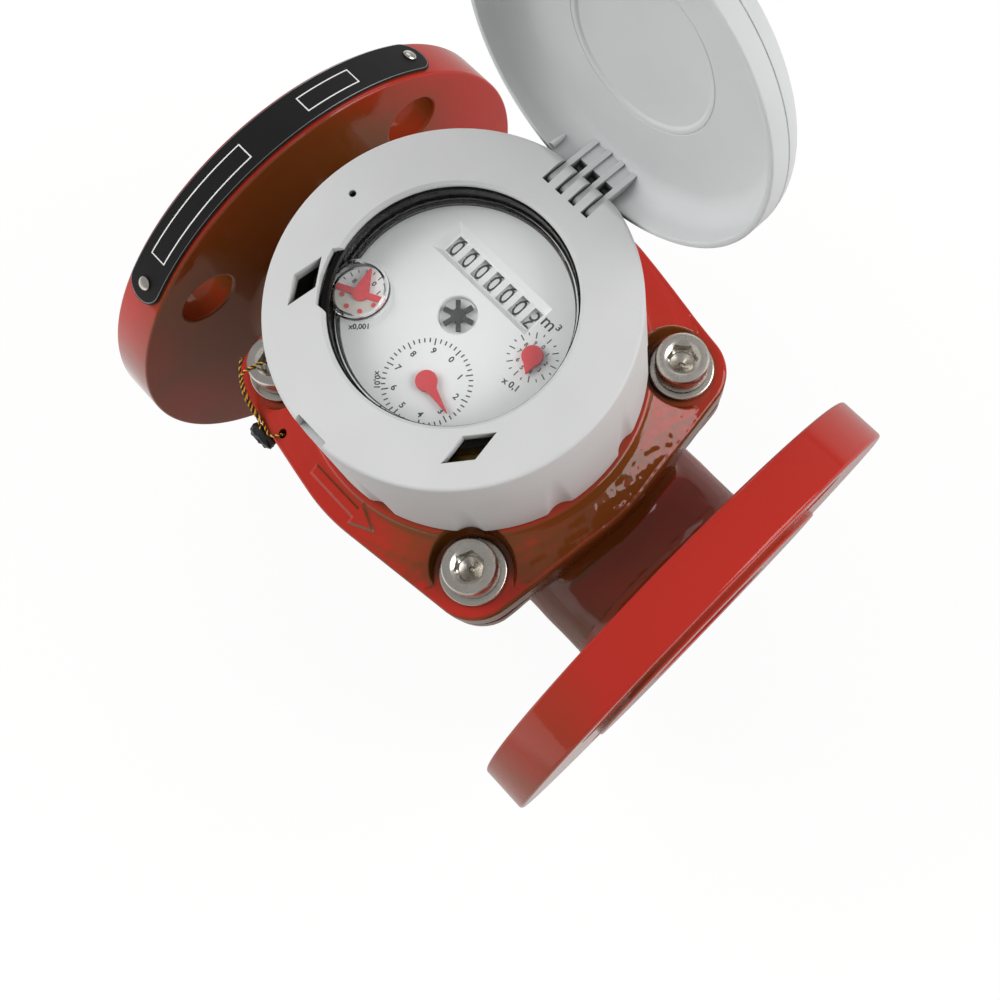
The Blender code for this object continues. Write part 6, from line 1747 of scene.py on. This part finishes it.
class SCENE_OT_meter_stage(MeterOperator, bpy.types.Operator):
    """Camera at the photograph's angle, soft studio lamps, world and pale floor"""

    bl_idname = "scene.meter_stage"
    bl_label = "Stage"

    def execute(self, context):
        scene = context.scene
        data = bpy.data.cameras.new("photo_camera")
        data.lens = CAMERA_LENS
        data.shift_x, data.shift_y = CAMERA_SHIFT
        data.clip_start = 0.01
        camera = bpy.data.objects.new("photo_camera", data)
        axes = Matrix((CAMERA_RIGHT, CAMERA_UP, CAMERA_BACK)).transposed().to_4x4()
        camera.matrix_world = Matrix.Translation(CAMERA_PLACE) @ axes
        scene.collection.objects.link(camera)
        scene.camera = camera
        self.lamp("right_lamp", (0.95, 0.75, 0.75), 1.1, 15.0)
        self.lamp("left_lamp", (-0.95, -0.6, 0.85), 1.1, 13.5, mirrored=False)
        self.lamp("back_lamp", (-0.7, 1.1, 0.8), 0.8, 2.0)
        self.lamp("front_lamp", (0.35, -1.2, 0.6), 0.8, 2.0, mirrored=False)
        self.world(scene)
        self.floor()
        scene.view_settings.view_transform = "Standard"
        return {"FINISHED"}

    def world(self, scene):
        """Soft pale sky for the light, and the white backdrop for what the camera sees past the floor."""
        world = bpy.data.worlds.new("studio")
        world.use_nodes = True
        scene.world = world
        tree = world.node_tree
        soft = tree.nodes["Background"]
        soft.inputs["Color"].default_value = linear("#EDEDEE")
        soft.inputs["Strength"].default_value = 0.4
        light = node(tree, "ShaderNodeLightPath").outputs
        seen = node(tree, "ShaderNodeMath",
                    {0: light["Is Camera Ray"], 1: light["Is Transmission Ray"]}, operation="MAXIMUM")
        white = node(tree, "ShaderNodeBackground",
                     {"Color": tuple(colours().backdrop), "Strength": BACKDROP_STRENGTH})
        mixed = node(tree, "ShaderNodeMixShader",
                     {0: seen.outputs[0], 1: soft.outputs[0], 2: white.outputs[0]})
        tree.links.new(mixed.outputs[0], tree.nodes["World Output"].inputs["Surface"])

    def lamp(self, name, place_here, size, power, mirrored=True):
        """Square area lamp that faces the meter; one that isn't mirrored leaves no image in gloss."""
        data = bpy.data.lights.new(name, "AREA")
        data.size = size
        data.energy = power
        lamp = bpy.data.objects.new(name, data)
        lamp.location = place_here
        lamp.visible_glossy = mirrored
        lamp.rotation_euler = (-Vector(place_here)).to_track_quat("-Z", "Y").to_euler()
        bpy.context.scene.collection.objects.link(lamp)

    def floor(self):
        """Wide flat floor under the flanges: white to the camera, with the meter's soft shadow on it.

        A mirror image shows that white only on the -X and -Y side, from 0.1 m to 0.18 m off the middle
        outwards;
        the rest of the white is masked out of gloss by place, as painted shade standing in for the meter's
        shade.
        """
        level = float(BODY_LOW[2]) - 0.2 * MM
        reach = 6.0
        sheet = slab(rectangle(-reach, -reach, reach, reach), level - 0.02, level)
        floor = mesh_object("studio_floor", sheet)
        made, tree, shader = principled("matt_paper", Base_Color=linear("#C6C4C1"), Roughness=0.8)
        light = node(tree, "ShaderNodeLightPath").outputs
        spot = node(tree, "ShaderNodeTexCoord").outputs["Object"]
        # Painted shade in reflections: gloss sees the white only where this mask by place lets it through.
        away = node(tree, "ShaderNodeVectorMath", {0: spot, 1: (-0.9, -0.45, 0.0)}, operation="DOT_PRODUCT")
        lit = node(tree, "ShaderNodeMapRange",
                   {"Value": away.outputs["Value"], "From Min": 0.1, "From Max": 0.18})
        mirrored = node(tree, "ShaderNodeMath",
                        {0: light["Is Glossy Ray"], 1: light["Is Transmission Ray"]}, operation="MAXIMUM")
        clear = node(tree, "ShaderNodeMath",
                     {0: mirrored.outputs[0], 1: lit.outputs[0]}, operation="MULTIPLY")
        seen = node(tree, "ShaderNodeMath",
                    {0: light["Is Camera Ray"], 1: clear.outputs[0]}, operation="MAXIMUM")
        part = node(tree, "ShaderNodeMath", {0: seen.outputs[0], 1: 0.88}, operation="MULTIPLY")
        white = node(tree, "ShaderNodeEmission",
                     {"Color": tuple(colours().backdrop), "Strength": BACKDROP_STRENGTH})
        mixed = node(tree, "ShaderNodeMixShader",
                     {0: part.outputs[0], 1: shader.outputs[0], 2: white.outputs[0]})
        tree.links.new(mixed.outputs[0], tree.nodes["Material Output"].inputs["Surface"])
        floor.data.materials.append(made)


OPERATORS = (
    SCENE_OT_meter_stage, MESH_OT_meter_casting, MESH_OT_meter_cover, MESH_OT_meter_screws,
    MESH_OT_meter_shroud, MESH_OT_meter_lid, MESH_OT_meter_dial, MESH_OT_meter_drums,
    MESH_OT_meter_pointers, MESH_OT_meter_nameplate, MESH_OT_meter_seal, MESH_OT_meter_inner_parts,
)


class VIEW3D_PT_water_meter(bpy.types.Panel):
    """Sidebar panel with the meter's sizes, colours and operators"""

    bl_label = "Water Meter"
    bl_space_type = "VIEW_3D"
    bl_region_type = "UI"
    bl_category = "Water Meter"

    def draw(self, context):
        for group in (context.scene.meter_sizes, context.scene.meter_colours):
            column = self.layout.column(align=True)
            for key in group.__annotations__:
                column.prop(group, key)
        for operator in OPERATORS:
            self.layout.operator(operator.bl_idname)


CLASSES = (MeterSizes, MeterColours, *OPERATORS, VIEW3D_PT_water_meter)


def register():
    """Register the classes and hang the property groups on the scene."""
    for item in CLASSES:
        bpy.utils.register_class(item)
    bpy.types.Scene.meter_sizes = bpy.props.PointerProperty(type=MeterSizes)
    bpy.types.Scene.meter_colours = bpy.props.PointerProperty(type=MeterColours)


def unregister():
    """Undo register."""
    del bpy.types.Scene.meter_colours
    del bpy.types.Scene.meter_sizes
    for item in reversed(CLASSES):
        bpy.utils.unregister_class(item)


def main():
    """Build the scene in order."""
    register()
    bpy.ops.scene.meter_stage()
    bpy.ops.mesh.meter_casting()
    bpy.ops.mesh.meter_cover()
    bpy.ops.mesh.meter_screws()
    bpy.ops.mesh.meter_shroud()
    bpy.ops.mesh.meter_lid()
    bpy.ops.mesh.meter_dial()
    bpy.ops.mesh.meter_drums()
    bpy.ops.mesh.meter_pointers()
    bpy.ops.mesh.meter_nameplate()
    bpy.ops.mesh.meter_seal()
    bpy.ops.mesh.meter_inner_parts()


if __name__ == "__main__":
    main()
